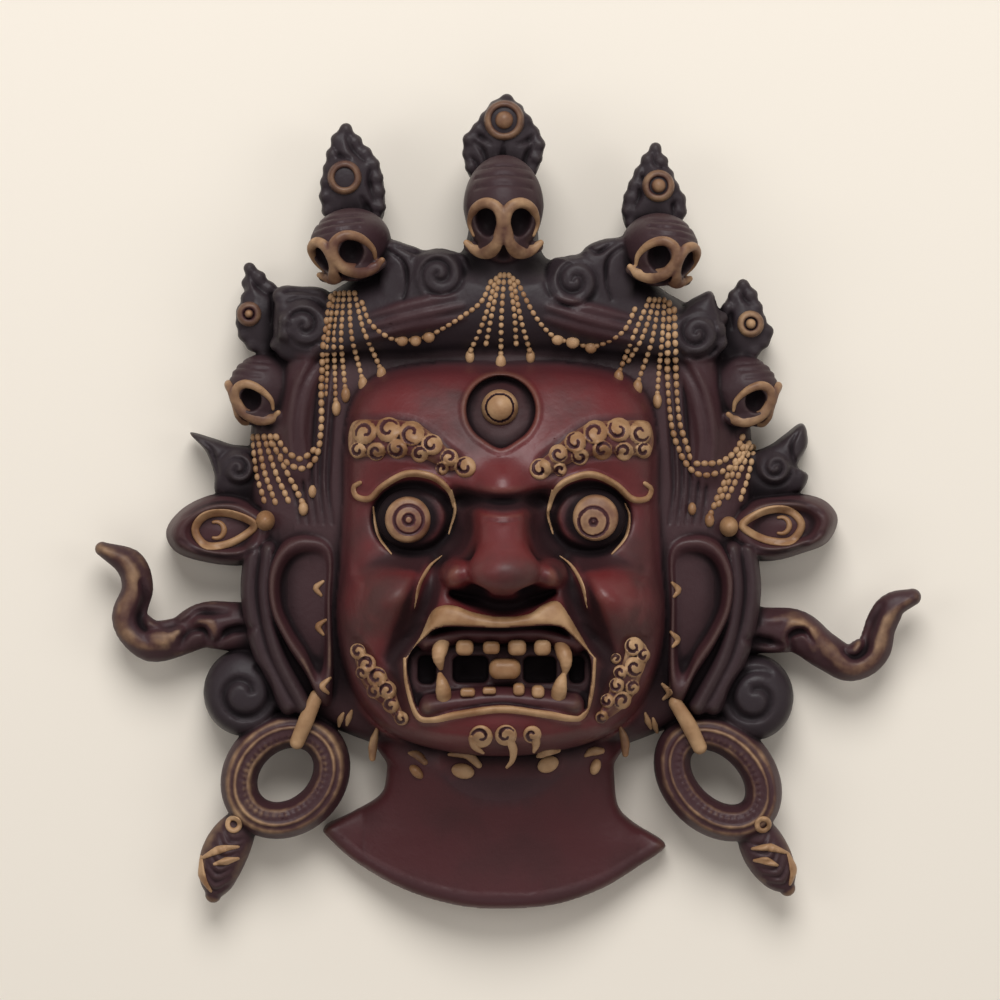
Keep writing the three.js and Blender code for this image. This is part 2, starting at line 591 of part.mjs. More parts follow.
function maskSolid() {
  const shell = join([head(), faceDome(), ...nose(), neck(), ...crown()]);
  const carved = shell.add(join(brows())).subtract(thirdEyePit()).subtract(mouthOpening());
  const whole = join([
    carved, thirdEye(), ...eyes(), ...mouth(), ...beard(), ...ears(), ...flowers(), ...strings(shell), ...scarves(),
    ...earrings(),
  ]);
  return whole.subtract(hollow());
}

function geometryOf(made) {
  const { vertProperties, triVerts } = made.getMesh();
  const geometry = new THREE.BufferGeometry();
  geometry.setAttribute("position", new THREE.BufferAttribute(vertProperties, 3));
  geometry.setIndex(new THREE.BufferAttribute(triVerts, 1));
  return geometry;
}

// The whole without slivers, closed pockets or specks that the joins leave
function cleaned(made) {
  const rounded = solid(geometryOf(made.simplify(SLIVER)));
  return join(rounded.decompose().filter((body) => body.volume() > SPECK));
}

const stainedResin = new THREE.MeshStandardMaterial({ color: 0x4a2320, roughness: 0.48, metalness: 0 });
const mask = new THREE.Group();
const body = new THREE.Mesh(geometryOf(cleaned(maskSolid())), stainedResin);
body.name = "mask";
body.geometry.computeVertexNormals();
mask.add(body);

export default mask;
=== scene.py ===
import math

import bmesh
import bpy
import numpy as np
import openvdb
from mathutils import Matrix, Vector


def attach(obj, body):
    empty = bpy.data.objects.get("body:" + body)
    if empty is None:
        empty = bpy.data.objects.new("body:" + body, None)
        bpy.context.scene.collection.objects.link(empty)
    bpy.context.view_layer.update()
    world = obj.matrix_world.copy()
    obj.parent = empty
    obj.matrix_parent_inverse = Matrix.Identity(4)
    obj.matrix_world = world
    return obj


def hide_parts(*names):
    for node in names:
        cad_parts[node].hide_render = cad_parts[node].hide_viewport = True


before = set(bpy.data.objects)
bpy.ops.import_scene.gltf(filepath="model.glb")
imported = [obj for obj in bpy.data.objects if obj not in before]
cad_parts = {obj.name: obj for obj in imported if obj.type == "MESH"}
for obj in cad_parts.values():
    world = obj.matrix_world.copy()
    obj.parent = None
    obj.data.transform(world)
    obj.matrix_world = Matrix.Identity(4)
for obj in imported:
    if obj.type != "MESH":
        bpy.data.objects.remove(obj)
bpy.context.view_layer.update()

# The block that the mask is carved in, and how finely
STEP = 0.5  # spacing of the block's points, in millimetres
FINE_STEP = 0.3  # spacing in the blocks of the trim
LOW = (-127.0, -126.0, -2.0)
HIGH = (127.0, 126.0, 80.0)
FAR = 6.0  # distance that stands for empty space
MASK_TRIANGLES = 192000
TRIM_DENSITY = 9  # triangles for each square millimetre of trim
SCRAP = 0.04  # bodies of trim smaller than this share of the biggest in their group are left out
TRIM_ROOM = {"round": 1.5, "under": 4, "over": 6}  # room round the trim, and under and over the mask's front
LIFT_ROOM = 12  # room above a front for what lifts it
SOFTEN = 2  # how many points of the block the mask's finishes are blurred over, each way
MM = 1000  # millimetres in a metre

# Main sizes
AXIS_X = -2.0  # centre line of the face
HOLLOW = {"centre": (AXIS_X, -3, 0), "radii": (64, 62, 38)}
MOUTH_FLOOR = 44
FADE = 8.0  # how far in from the edge of the face its red darkens
HANG = 1.0  # steepest fall of a piece of trim

# Finishes: how red the stain is, and how far the bone colour is rubbed on; below zero the place is painted
# dark instead, a dark wash with painted shade in recesses
CROWN = (0.06, -0.1)
HEAD = (0.25, -0.1)
FACE = (1.0, 0.0)
EAR = (0.3, 0.0)
HAIR = (0.15, 0.0)
NECK = (0.5, -0.1)
GUM = (0.4, 0.12)
# DARK and CUT are rubbed below zero: they paint grooves, pits and rings near-black, a dark wash with painted
# shade
DARK = (0.2, -0.8)
CUT = (0.4, -0.35)
BONE = (0.5, 1.0)
GOLD = (0.6, 0.7)
WORN = (0.25, 0.2)
SKULL = (0.18, 0.02)


# The block and what is done to it
def soft_min(a, b, blend):
    if blend == 0:
        return np.minimum(a, b)
    near = np.maximum(blend - np.abs(a - b), 0) / blend
    return np.minimum(a, b) - near * near * (blend / 4)


def soft_max(a, b, blend):
    return -soft_min(-a, -b, blend)


class Block:
    """A box of distances to a surface, negative inside it, with the redness of the stain, the bone rubbed on
    and the painted dark given to each place.
    """

    def __init__(self, low, high, step, base=None):
        self.low, self.step, self.base = np.array(low, float), step, base
        self.count = tuple(int(math.ceil((b - a) / step)) + 1 for a, b in zip(low, high))
        self.axes = [a + step * np.arange(n, dtype=np.float32) for a, n in zip(self.low, self.count)]
        self.field = np.full(self.count, FAR, np.float32)
        self.red = np.zeros(self.count, np.float16)
        self.rub_and_shade = np.zeros(self.count, np.float16)
        self.front_map = None

    def window(self, low, high, margin):
        spans = []
        for k in range(3):
            first = int((low[k] - margin - self.low[k]) / self.step)
            last = int((high[k] + margin - self.low[k]) / self.step) + 2
            spans.append(slice(min(max(0, first), self.count[k] - 2), max(2, min(self.count[k], last))))
        x, y, z = (axis[span] for axis, span in zip(self.axes, spans))
        return tuple(spans), x[:, None, None], y[None, :, None], z[None, None, :]

    def paint(self, spans, where, finish_and_shade):
        self.red[spans][where] = finish_and_shade[0]
        self.rub_and_shade[spans][where] = finish_and_shade[1]

    def join(self, made, blend=0.0, finish_and_shade=None):
        low, high, shape = made
        spans, x, y, z = self.window(low, high, blend + 3 * self.step)
        new, old = shape(x, y, z, self), self.field[spans]
        if finish_and_shade:
            self.paint(spans, new < old, finish_and_shade)
        self.field[spans] = soft_min(old, new, blend)

    def carve(self, made, blend=0.0, finish_and_shade=None):
        low, high, shape = made
        spans, x, y, z = self.window(low, high, blend + 3 * self.step)
        new, old = -shape(x, y, z, self), self.field[spans]
        if finish_and_shade:
            self.paint(spans, new > old, finish_and_shade)
        self.field[spans] = soft_max(old, new, blend)

    def columns_front(self, i, j):
        """Height of the front over some columns of the block."""
        column = self.field[i, j, :]
        inside = column < 0
        top = self.count[2] - 1 - np.argmax(inside[:, :, ::-1], axis=2)
        above = np.minimum(top + 1, self.count[2] - 1)
        here = np.take_along_axis(column, top[:, :, None], 2)[:, :, 0]
        there = np.take_along_axis(column, above[:, :, None], 2)[:, :, 0]
        part = np.clip(-here / np.maximum(there - here, 1e-6), 0, 1)
        return np.where(inside.any(axis=2), self.low[2] + self.step * (top + part), self.low[2])

    def front(self, x, y):
        """Height of the front over a window's points: the block's own, and of the block it sits on."""
        i, j = (int(round((float(v.flat[0]) - a) / self.step)) for v, a in zip((x, y), self.low))
        own = self.columns_front(slice(i, i + x.size), slice(j, j + y.size))
        if self.base is None:
            return own
        return np.maximum(own, self.base.mapped_front(x[:, :, 0], y[:, :, 0]))

    def mapped_front(self, x, y):
        if self.front_map is None:
            self.front_map = self.columns_front(slice(None), slice(None))
        u, v = (x - self.low[0]) / self.step, (y - self.low[1]) / self.step
        i, j = np.floor(u).astype(int), np.floor(v).astype(int)
        p, q = u - i, v - j
        heights = self.front_map
        near = heights[i, j] * (1 - p) + heights[i + 1, j] * p
        far = heights[i, j + 1] * (1 - p) + heights[i + 1, j + 1] * p
        return near * (1 - q) + far * q

    def height(self, x, y):
        i, j = (int(round((v - a) / self.step)) for v, a in zip((x, y), self.low))
        return float(self.columns_front(slice(i, i + 1), slice(j, j + 1))[0, 0])


# Lines and outlines
def smooth(points, closed=False, spacing=1.0):
    """Evenly spaced points on a smooth curve through the given ones."""
    p = np.array(points, float)
    if closed:
        p = np.vstack([p[-1:], p, p[:2]])
    else:
        p = np.vstack([2 * p[:1] - p[1:2], p, 2 * p[-1:] - p[-2:-1]])
    t = np.linspace(0, 1, 16, endpoint=False)[:, None]
    runs = []
    for a, b, c, d in zip(p[:-3], p[1:-2], p[2:-1], p[3:]):
        bend = (2 * a - 5 * b + 4 * c - d) * t**2 + (3 * b - a - 3 * c + d) * t**3
        runs.append(0.5 * (2 * b + (c - a) * t + bend))
    line = np.vstack([*runs, p[-2:-1]])
    along = np.concatenate([[0], np.cumsum(np.linalg.norm(np.diff(line, axis=0), axis=1))])
    count = max(2, int(math.ceil(along[-1] / spacing)))
    stops = np.linspace(0, along[-1], count + 1)
    return np.stack([np.interp(stops, along, line[:, k]) for k in range(line.shape[1])], axis=1)


def mirrored(half):
    right = [(AXIS_X + away, y) for away, y in half]
    left = [(AXIS_X - away, y) for away, y in reversed(half) if away > 0]
    return right + left


def on_side(half, side):
    return [(AXIS_X + side * away, y) for away, y in half]


def ring(x, y, wide, high, turn=0.0, count=24):
    angles = np.linspace(0, 2 * math.pi, count, endpoint=False)
    c, s = math.cos(math.radians(turn)), math.sin(math.radians(turn))
    u, v = wide * np.cos(angles), high * np.sin(angles)
    return np.stack([x + u * c - v * s, y + u * s + v * c], axis=1)


def spiral(x, y, outer, inner, turns, start, way):
    t = np.linspace(0, 1, 40)
    angle = math.radians(start) + way * turns * 2 * math.pi * t
    reach = outer + (inner - outer) * t
    return np.stack([x + reach * np.cos(angle), y + reach * np.sin(angle)], axis=1)


def arc(x, y, reach, first, last, count=10):
    angles = np.radians(np.linspace(first, last, count))
    return np.stack([x + reach * np.cos(angles), y + reach * np.sin(angles)], axis=1)


def spread(values, count):
    """A size given at a few places, spread evenly over a line of points."""
    values = np.atleast_1d(np.array(values, float))
    return np.interp(np.linspace(0, 1, count), np.linspace(0, 1, len(values)), values)


def tapered(size, tip):
    return [size * (tip + (1 - tip) * math.sin(math.pi * t) ** 0.6) for t in np.linspace(0, 1, 13)]


# Shapes, each a box that holds it and a function of distance
def ellipsoid(centre, radii, turn=0.0):
    c, s = math.cos(math.radians(turn)), math.sin(math.radians(turn))
    reach = (max(radii[:2]), max(radii[:2]), radii[2]) if turn else radii

    def shape(x, y, z, block):
        u, v, w = x - centre[0], y - centre[1], (z - centre[2]) / radii[2]
        u, v = (u * c + v * s) / radii[0], (v * c - u * s) / radii[1]
        out = np.sqrt(u * u + v * v + w * w)
        pull = np.sqrt((u / radii[0]) ** 2 + (v / radii[1]) ** 2 + (w / radii[2]) ** 2)
        return out * (out - 1) / np.maximum(pull, 1e-6)

    return [a - r for a, r in zip(centre, reach)], [a + r for a, r in zip(centre, reach)], shape


def lump(centre, half_sizes, soft):
    """A box with well-rounded edges, such as a tooth."""

    def shape(x, y, z, block):
        over = [np.abs(v - a) - (h - soft) for v, a, h in zip((x, y, z), centre, half_sizes)]
        outside = np.sqrt(sum(np.maximum(v, 0) ** 2 for v in over))
        return outside + np.minimum(np.maximum(np.maximum(over[0], over[1]), over[2]), 0) - soft

    low = [a - h for a, h in zip(centre, half_sizes)]
    return low, [a + h for a, h in zip(centre, half_sizes)], shape


def rod(points, radii):
    """A round bar through points in space."""
    p = np.array(points, float)
    r = spread(radii, len(p))

    def shape(x, y, z, block):
        best = np.float32(1e9)
        for a, b, ra, rb in zip(p[:-1], p[1:], r[:-1], r[1:]):
            d = b - a
            t = np.clip(((x - a[0]) * d[0] + (y - a[1]) * d[1] + (z - a[2]) * d[2]) / max(d @ d, 1e-9), 0, 1)
            away = [v - a[k] - t * d[k] for k, v in enumerate((x, y, z))]
            best = np.minimum(best, np.sqrt(sum(v * v for v in away)) - (ra + (rb - ra) * t))
        return best

    return p.min(axis=0) - r.max(), p.max(axis=0) + r.max(), shape


def nearest(line, values, x, y):
    """Distance from each point of a window to a flat line, and the line's values there."""
    px, py = x[:, :, 0], y[:, :, 0]
    best = np.full(np.broadcast_shapes(px.shape, py.shape), 1e9)
    found = np.zeros(best.shape + (values.shape[1],))
    for a, b, va, vb in zip(line[:-1], line[1:], values[:-1], values[1:]):
        d = b - a
        t = np.clip(((px - a[0]) * d[0] + (py - a[1]) * d[1]) / max(d @ d, 1e-9), 0, 1)
        gap = np.hypot(px - a[0] - t * d[0], py - a[1] - t * d[1])
        closer = gap < best
        best[closer] = gap[closer]
        found[closer] = (va + (vb - va) * t[:, :, None])[closer]
    return best, found


def oval_distance(across, up, wide, high):
    u, v = across / wide, up / high
    out = np.sqrt(u * u + v * v)
    return out * (out - 1) / np.maximum(np.sqrt((u / wide) ** 2 + (v / high) ** 2), 1e-6)


def band(points, wide, high, closed=False, spacing=1.5):
    """A bar of oval section along points in space, given by its half width and half height."""
    line = smooth(points, closed, spacing)
    values = np.stack([line[:, 2], spread(wide, len(line)), spread(high, len(line))], axis=1)
    reach = np.array([values[:, 1].max(), values[:, 1].max(), values[:, 2].max()])

    def shape(x, y, z, block):
        gap, found = nearest(line[:, :2], values, x, y)
        level, half, tall = (found[:, :, k : k + 1] for k in range(3))
        return oval_distance(gap[:, :, None], z - level, half, tall)

    return line.min(axis=0) - reach, line.max(axis=0) + reach, shape


def laid(points, x, y, block):
    """Front under a piece of trim, which hangs on from its higher places where the mask falls away."""
    front = block.front(x, y)
    if block.base is None:
        return front
    for (px, py), height in zip(points, block.base.mapped_front(points[:, 0], points[:, 1])):
        front = np.maximum(front, height - HANG * np.hypot(x[:, :, 0] - px, y[:, :, 0] - py))
    return front


def on_front(points, wide, high, closed=False, spacing=1.0):
    """A bar of oval section that follows the front under it."""
    line = smooth(points, closed, spacing)
    values = np.stack([spread(wide, len(line)), spread(high, len(line))], axis=1)
    reach = values[:, 0].max()

    def shape(x, y, z, block):
        gap, found = nearest(line, values, x, y)
        level = laid(line, x, y, block)[:, :, None]
        return oval_distance(gap[:, :, None], z - level, found[:, :, :1], found[:, :, 1:])

    return [*(line.min(axis=0) - reach), LOW[2]], [*(line.max(axis=0) + reach), HIGH[2]], shape


def outline_distance(outline, x, y):
    px, py = x[:, :, 0], y[:, :, 0]
    best = np.full(np.broadcast_shapes(px.shape, py.shape), 1e9)
    inside = np.zeros(best.shape, bool)
    for a, b in zip(outline, np.roll(outline, -1, axis=0)):
        d = b - a
        t = np.clip(((px - a[0]) * d[0] + (py - a[1]) * d[1]) / max(d @ d, 1e-9), 0, 1)
        best = np.minimum(best, np.hypot(px - a[0] - t * d[0], py - a[1] - t * d[1]))
        rise = d[1] if d[1] else 1e-9
        inside ^= ((a[1] > py) != (b[1] > py)) & (px < d[0] * (py - a[1]) / rise + a[0])
    return np.where(inside, -best, best)


def plate(points, rise, soft, sink=1.5, spacing=0.8):
    """A raised plate of any outline that follows the front under it, with rounded edges."""
    outline = smooth(points, closed=True, spacing=spacing)[:-1]

    def shape(x, y, z, block):
        side = outline_distance(outline, x, y)
        inward = np.clip(-side / soft, 0, 1)
        front = laid(outline, x, y, block)
        level = (front + rise * np.sqrt(1 - (1 - inward) ** 2))[:, :, None]
        return np.maximum(np.maximum(z - level, side[:, :, None]), front[:, :, None] - sink - z)

    return [*outline.min(axis=0), LOW[2]], [*outline.max(axis=0), HIGH[2]], shape


def pit(points, floor=None, deep=0.0, spacing=0.8):
    """An open cut with upright sides, down to a floor height or to a depth under the front."""
    outline = smooth(points, closed=True, spacing=spacing)[:-1]

    def shape(x, y, z, block):
        bottom = block.front(x, y)[:, :, None] - deep if floor is None else floor
        return np.maximum(outline_distance(outline, x, y)[:, :, None], bottom - z)

    return [*outline.min(axis=0), floor or LOW[2]], [*outline.max(axis=0), HIGH[2]], shape


def slope_of(values, step):
    du, dv = np.gradient(values, step)
    return np.sqrt(du * du + dv * dv)


def boss(points, centre, back, front, lift=None, rim=2.0):
    """A form with a flat back, upright edges and a front given by the share of the way out to its outline."""
    outline = smooth(points, closed=True)
    offset = outline - np.array(centre)
    bearing, reach = np.arctan2(offset[:, 1], offset[:, 0]), np.hypot(offset[:, 0], offset[:, 1])
    top = front(np.linspace(0, 1, 20)).max() + (LIFT_ROOM if lift else 0)

    def shape(x, y, z, block):
        px, py = x[:, :, 0] - centre[0], y[:, :, 0] - centre[1]
        share = np.hypot(px, py) / np.interp(np.arctan2(py, px), bearing, reach, period=2 * math.pi)
        height = front(np.minimum(share, 1))
        if lift:
            height = height + lift(x[:, :, 0], y[:, :, 0])
        side = (share - 1) / np.maximum(slope_of(share, block.step), 1e-4)
        steep = np.sqrt(1 + np.minimum(slope_of(height, block.step), 3) ** 2)
        face = (z - height[:, :, None]) / steep[:, :, None]
        return np.maximum(soft_max(face, side[:, :, None], rim), back - z)

    return [*outline.min(axis=0), back], [*outline.max(axis=0), top], shape


def dome(edge, top, bulge):
    return lambda share: edge + (top - edge) * (1 - share**2) ** (bulge / 2)


def ringed(rings):
    """A front from heights at some shares of the way out, with the corners between them rounded."""
    shares, heights = zip(*reversed(rings))
    stops = np.linspace(0, 1, 101)
    padded = np.pad(np.interp(stops, shares, heights), 7, "edge")
    rounded = np.convolve(padded, np.ones(15) / 15, "valid")
    return lambda share: np.interp(share, stops, rounded)


mask = Block(LOW, HIGH, STEP)
trim_steps = []  # what is done in each small block of trim


def trim(*steps):
    """Keeps a group of trim for its own block: each step is join or carve, a shape, a blend, and the redness,
    rubbed bone and painted dark that it gives.
    """
    trim_steps.append(steps)


# Head, face and nose
HEAD_HALF = [(0, 74), (23, 73), (46, 66), (64, 56), (74, 38), (77, 15), (78, -10), (78, -30), (74, -48),
             (64, -62), (48, -70), (28, -76), (0, -78)]
FACE_HALF = [(0, 42), (20, 42), (38, 38), (46, 26), (47.5, 0), (48.5, -20), (49.5, -35), (47, -50), (41, -62),
             (32, -70), (17, -75), (0, -76.5)]
SWELLS = [  # x, y, half width, half height, rise, turn in degrees
    (-29, 18, 17, 7, 4, -12), (25, 18, 17, 7, 4, 12),  # brow ridges
    (-28, -4.5, 14, 11, -8, 0), (24.3, -4.5, 14, 11, -8, 0),  # eye hollows
    (-1.5, 7, 8, 5, 5, 0),  # pad between the brows
    (-1.5, -10, 9, 9, 6, 0),  # bridge of the nose
    (-35, -28, 11.5, 8, 11, 30), (31, -28, 11.5, 8, 11, -30),  # cheeks
    (-2, -35, 24, 8, 3, 0),  # upper lip
    (-2, -52, 34, 20, 7, 0),  # muzzle
    (-2, -68, 26, 7, 6, 0),  # chin
]


def face_lift(x, y):
    total = 0.0
    for cx, cy, wide, high, rise, turn in SWELLS:
        c, s = math.cos(math.radians(turn)), math.sin(math.radians(turn))
        u, v = ((x - cx) * c + (y - cy) * s) / wide, ((y - cy) * c - (x - cx) * s) / high
        total = total + rise * np.exp(-u * u - v * v)
    return total


def make_head():
    mask.join(boss(mirrored(HEAD_HALF), (AXIS_X, -2), 0, dome(9, 33, 0.8), rim=4), 0, HEAD)
    mask.join(boss(mirrored(FACE_HALF), (AXIS_X, -17), 4, dome(23, 54, 0.8), face_lift, rim=4), 5, FACE)


def fade_face():
    """The red of the face darkens towards its edge."""
    x, y = mask.axes[0][:, None, None], mask.axes[1][None, :, None]
    side = outline_distance(smooth(mirrored(FACE_HALF), closed=True)[:-1], x, y)
    inward = np.clip(-side / FADE, 0, 1)
    mask.red *= np.where(side < 0, 0.4 + 0.6 * inward, 1)[:, :, None].astype(np.float16)


def make_nose():
    bridge = [(-1.5, 0, 54), (-1.5, -8, 57), (-1.3, -16, 62)]
    mask.join(rod(smooth(bridge), (6, 6.4, 7.2)), 6, FACE)
    mask.join(ellipsoid((-0.9, -20, 62), (10.6, 6.9, 13.5)), 4, FACE)
    for x in (-15.2, 12.8):
        mask.join(ellipsoid((x, -20.8, 56.5), (4.8, 4.6, 8)), 3, FACE)


def make_folds():
    frown = [(-16, 2.2), (-9, 1), (-1.5, 0.4), (6, 1), (13, 2.2)]
    # The frown is painted dark: dark wash with painted shade in the crease
    mask.carve(on_front(frown, 2.0, (2, 5, 5, 5, 2)), 3, (0.3, -0.5))
    for y in (-2.6, -5.4):
        mask.carve(on_front([(-7, y + 0.5), (-1.5, y), (4, y + 0.5)], (0.3, 0.6, 0.3), (0.3, 0.8, 0.3)), 0.8)
    for side in (-1, 1):
        # The grooves beside the nose and the folds of the cheeks are painted dark: dark wash with painted
        # shade in the creases
        beside = on_side([(12, 0), (12.5, -8), (17, -14.5), (25, -16.5), (33, -17), (41, -19.5)], side)
        mask.carve(on_front(beside, (2.5, 4, 3.5, 2.8, 2, 0.8), (4, 6, 5, 3.6, 2.4, 0.6)), 4, (0.4, -0.5))
        fold = on_side([(18.5, -17.5), (21.5, -24), (24, -31), (27.5, -38.5), (33, -46)], side)
        mask.carve(on_front(fold, (2.2, 3.6, 4.4, 3.8, 1.6), (3, 5, 6, 5, 1.5)), 4, (0.4, -0.55))
        ridge = on_side([(17.5, -15.5), (21, -18.5), (24, -24), (25.5, -31)], side)
        mask.join(on_front(ridge, (0.4, 1, 1, 0.4), (0.3, 0.9, 0.8, 0.3)), 1, (1.0, 0.3))
        trim(("join", on_front(ridge, (0.2, 0.6, 0.6, 0.2), (0.3, 0.6, 0.6, 0.3)), 0, (0.9, 0.26)))
        cheek = on_side([(43, -24), (45, -31), (43, -38)], side)
        mask.join(on_front(cheek, (0.6, 2.2, 0.6), (0.2, 0.5, 0.2)), 2, (1.0, 0.24))
        # The nostrils are painted near-black: painted shade inside them
        mask.carve(ellipsoid((AXIS_X + side * 8.6 + 0.5, -26.8, 62), (4.6, 2.6, 9)), 2, DARK)
    chin = [(-26, -68.6), (-14, -71.4), (-2, -72.4), (10, -71.4), (22, -68.4)]
    mask.join(on_front(chin, (0.8, 2.4, 2.6, 2.4, 0.8), (0.2, 0.7, 0.7, 0.7, 0.2)), 2, (1.0, 0.26))
    under = [(-16, -26.5), (-9, -29), (-1, -30.8), (7, -29), (13, -26)]
    mask.carve(on_front(under, (1.2, 2, 2.4, 2, 1.2), 5), 2, (0.5, -0.2))


# Eyes, brows and the third eye
EYES = [
    {
        "ball": (-28, -4.5), "disc": (-29.5, -4.8), "pupil": (-29.3, -4.8, 1.5), "lid_finish": (0.7, 0.5),
        "lid": [(-16, -1), (-17.5, 4), (-22.5, 8), (-30, 8.8), (-37, 5.2), (-41, 1.5), (-45, 2), (-46, 4.8),
                (-44, 6.2)],
        "lines": [[(-40, -1), (-39.5, -6), (-38, -10.5), (-34.5, -15)],
                  [(-16.6, 4), (-15.6, -2), (-17.5, -9)]],
    },
    {
        "ball": (24.3, -4.5), "disc": (26, -4.2), "pupil": (25.4, -5.4, 0.9), "lid_finish": (0.6, 0.85),
        "lid": [(12.4, -2), (14, 3.5), (18, 7), (25, 8.6), (32, 5.7), (37, 1.4), (41.5, 1.4), (43, 4.2),
                (41, 6)],
        "lines": [[(35, 0), (36.4, -4), (35.2, -10), (31, -15)], [(13.2, 4), (12, -3), (13.5, -9)]],
    },
]
EYE = {"wide": 10.7, "high": 9.2, "deep": 5.6, "disc": 6.9, "ring": 4.3}
THIRD_EYE = {"x": -2, "y": 27.9, "radius": 10.2, "tip_y": 16.4, "deep": 4.5, "ball": 5.5, "ring": 4.1}
BROWS = [
    {
        "outline": [(-46.5, 24), (-38, 25), (-30, 24.5), (-24, 22), (-18, 16.5), (-14, 12.5), (-16, 9.6),
                    (-20, 11), (-26, 13.6), (-36, 14.6), (-46.5, 14.4)],
        "curls": [(-42.4, 21.2, 3.2, 200), (-35.4, 22, 3.4, 30), (-28.4, 20.8, 3.4, 280),
                  (-22.4, 17.4, 2.9, 60), (-17.2, 13.6, 2.4, 200), (-44.6, 15.8, 2.2, 90),
                  (-39, 15.4, 2.5, 320), (-32.6, 16.2, 2.7, 150), (-26, 14.6, 2.3, 20),
                  (-19.4, 10.4, 1.8, 250), (-12.5, 10.8, 2.9, 90)],
    },
    {
        "outline": [(42.5, 24), (34, 24.6), (25, 24), (19, 20.8), (13, 15.6), (9.6, 12), (11.6, 8.6),
                    (16, 10.6), (22, 13.4), (32, 14.8), (42.5, 14.8)],
        "curls": [(39.6, 21.2, 3.1, 330), (33, 22, 3.3, 140), (26, 21.2, 3.3, 250), (20, 18.2, 2.9, 100),
                  (15, 14.8, 2.5, 330), (40.6, 15.8, 2.2, 60), (34.6, 15.4, 2.5, 210), (28, 15.8, 2.7, 20),
                  (21.4, 13.8, 2.3, 160), (15.6, 10, 1.8, 290), (9.6, 10.2, 2.9, 90)],
    },
]


def make_eyes():
    for eye in EYES:
        x, y = eye["ball"]
        level = mask.height(x, y)
        # The groove round each eyeball is painted near-black: the eye's dark paint with painted shade in the
        # gap
        mask.carve(on_front(ring(x, y, 11.2, 9.7), 1.4, 2.6, closed=True), 2, DARK)
        mask.join(ellipsoid((x, y, level + 0.5), (EYE["wide"], EYE["high"], EYE["deep"])), 0.6, DARK)
        lid = on_front(eye["lid"], (0.5, 1.2, 1.3, 1.2, 1.2, 0.9), (0.6, 1.2, 1.4, 1.2, 1, 0.6))
        mask.join(lid, 0.8, FACE)
        crest = on_front(eye["lid"], (0.4, 1, 1.1, 1, 1, 0.7), (0.4, 1, 1.1, 1, 0.9, 0.7))
        trim(("join", crest, 0, eye["lid_finish"]))
        for line in eye["lines"]:
            trim(("join", on_front(line, (0.3, 0.5, 0.3), (0.4, 0.7, 0.4), spacing=0.7), 0, (0.7, 0.4)))
        x, y = eye["disc"]
        round_edge = ring(x, y, EYE["disc"], EYE["disc"])
        disc = boss(round_edge, (x, y), level + 1, dome(level + 5.4, level + 7.6, 1.2), rim=1)
        px, py, pupil = eye["pupil"]
        trim(
            ("join", disc, 0, (0.6, 0.52)),
            ("carve", on_front(ring(px, py, EYE["ring"], EYE["ring"]), 0.3, 0.5, closed=True), 0.2, CUT),
            ("carve", on_front(ring(px, py, pupil, pupil), 0.4, 0.6, closed=True), 0.2, CUT),
        )


def drop_outline(grow):
    x, y, radius = THIRD_EYE["x"], THIRD_EYE["y"], THIRD_EYE["radius"] + grow
    return [*arc(x, y, radius, -58, 238, 18), (x, THIRD_EYE["tip_y"] - grow)]


def make_third_eye():
    x, y, deep = THIRD_EYE["x"], THIRD_EYE["y"], THIRD_EYE["deep"]
    level = mask.height(x, y)
    mask.join(on_front(drop_outline(0.9), 1.0, 0.8, closed=True), 1, (1.0, 0.1))
    # The pit is painted dark: dark wash with painted shade inside it
    mask.carve(pit(drop_outline(0), deep=deep), 1.2, (0.5, -0.5))
    mask.join(ellipsoid((x, y - 6.8, level - deep), (4.4, 3.8, 2.6)), 1, (1.0, 0.2))
    ball, loop = THIRD_EYE["ball"], THIRD_EYE["ring"]
    trim(
        ("join", ellipsoid((x - 0.3, y + 0.6, level - deep), (ball, ball, deep + 2.5)), 0, BONE),
        ("carve", on_front(ring(x - 0.3, y + 0.6, loop, loop), 0.25, 0.4, closed=True), 0.2, DARK),
    )


def curled(outline, curls):
    """A patch of curls: a low plate, and for each curl a round boss with a spiral scratched into it."""
    steps = [("join", plate(outline, 1.1, 1.2), 0, (0.6, 0.4))] if outline else []
    for x, y, reach, first in curls:
        steps.append(("join", plate(ring(x, y, 1.1 * reach, 1.1 * reach), 1.7, reach), 0.3, BONE))
    for x, y, reach, first in curls:
        line = spiral(x, y, 0.9 * reach, 0.25 * reach, 0.8, first, 1 if first < 180 else -1)
        steps.append(("carve", on_front(line, (0.15, 0.5, 0.3), (0.4, 0.9, 0.6), spacing=0.6), 0.2, CUT))
    return steps


def make_brows():
    for brow in BROWS:
        # A groove round each brow, painted dark: dark wash with painted shade round the raised plate
        mask.carve(on_front(brow["outline"], 1.3, 0.9, closed=True), 1.2, CUT)
        trim(*curled(brow["outline"], brow["curls"]))


# Mouth and beard
MOUTH = [(-29.5, -46), (-24, -39), (-18, -36.3), (-2, -36.6), (13.5, -36), (19, -39), (24.5, -46), (24, -57),
         (22, -62), (10, -61), (-2, -59.5), (-15, -61.3), (-25, -63), (-28.5, -55)]
UPPER_LIP = [(-30.5, -46.5), (-26, -39.5), (-22.5, -32), (-19, -30), (-15, -30.2), (-10, -32), (-2, -33.3),
             (6, -32.5), (10, -30), (14, -28.6), (16.5, -30.5), (20.5, -37), (24, -43), (26, -46),
             (22, -42.5), (15, -36.5), (6, -36.3), (-2, -37), (-10, -36.6), (-19, -36.4), (-25, -40.5)]
LOWER_LIP = [(-30.5, -46), (-29.8, -54), (-26.8, -63), (-22, -64), (-15, -62.4), (-2, -60.6), (10, -62),
             (18, -63.6), (22.4, -63), (24.9, -56), (25.8, -46)]
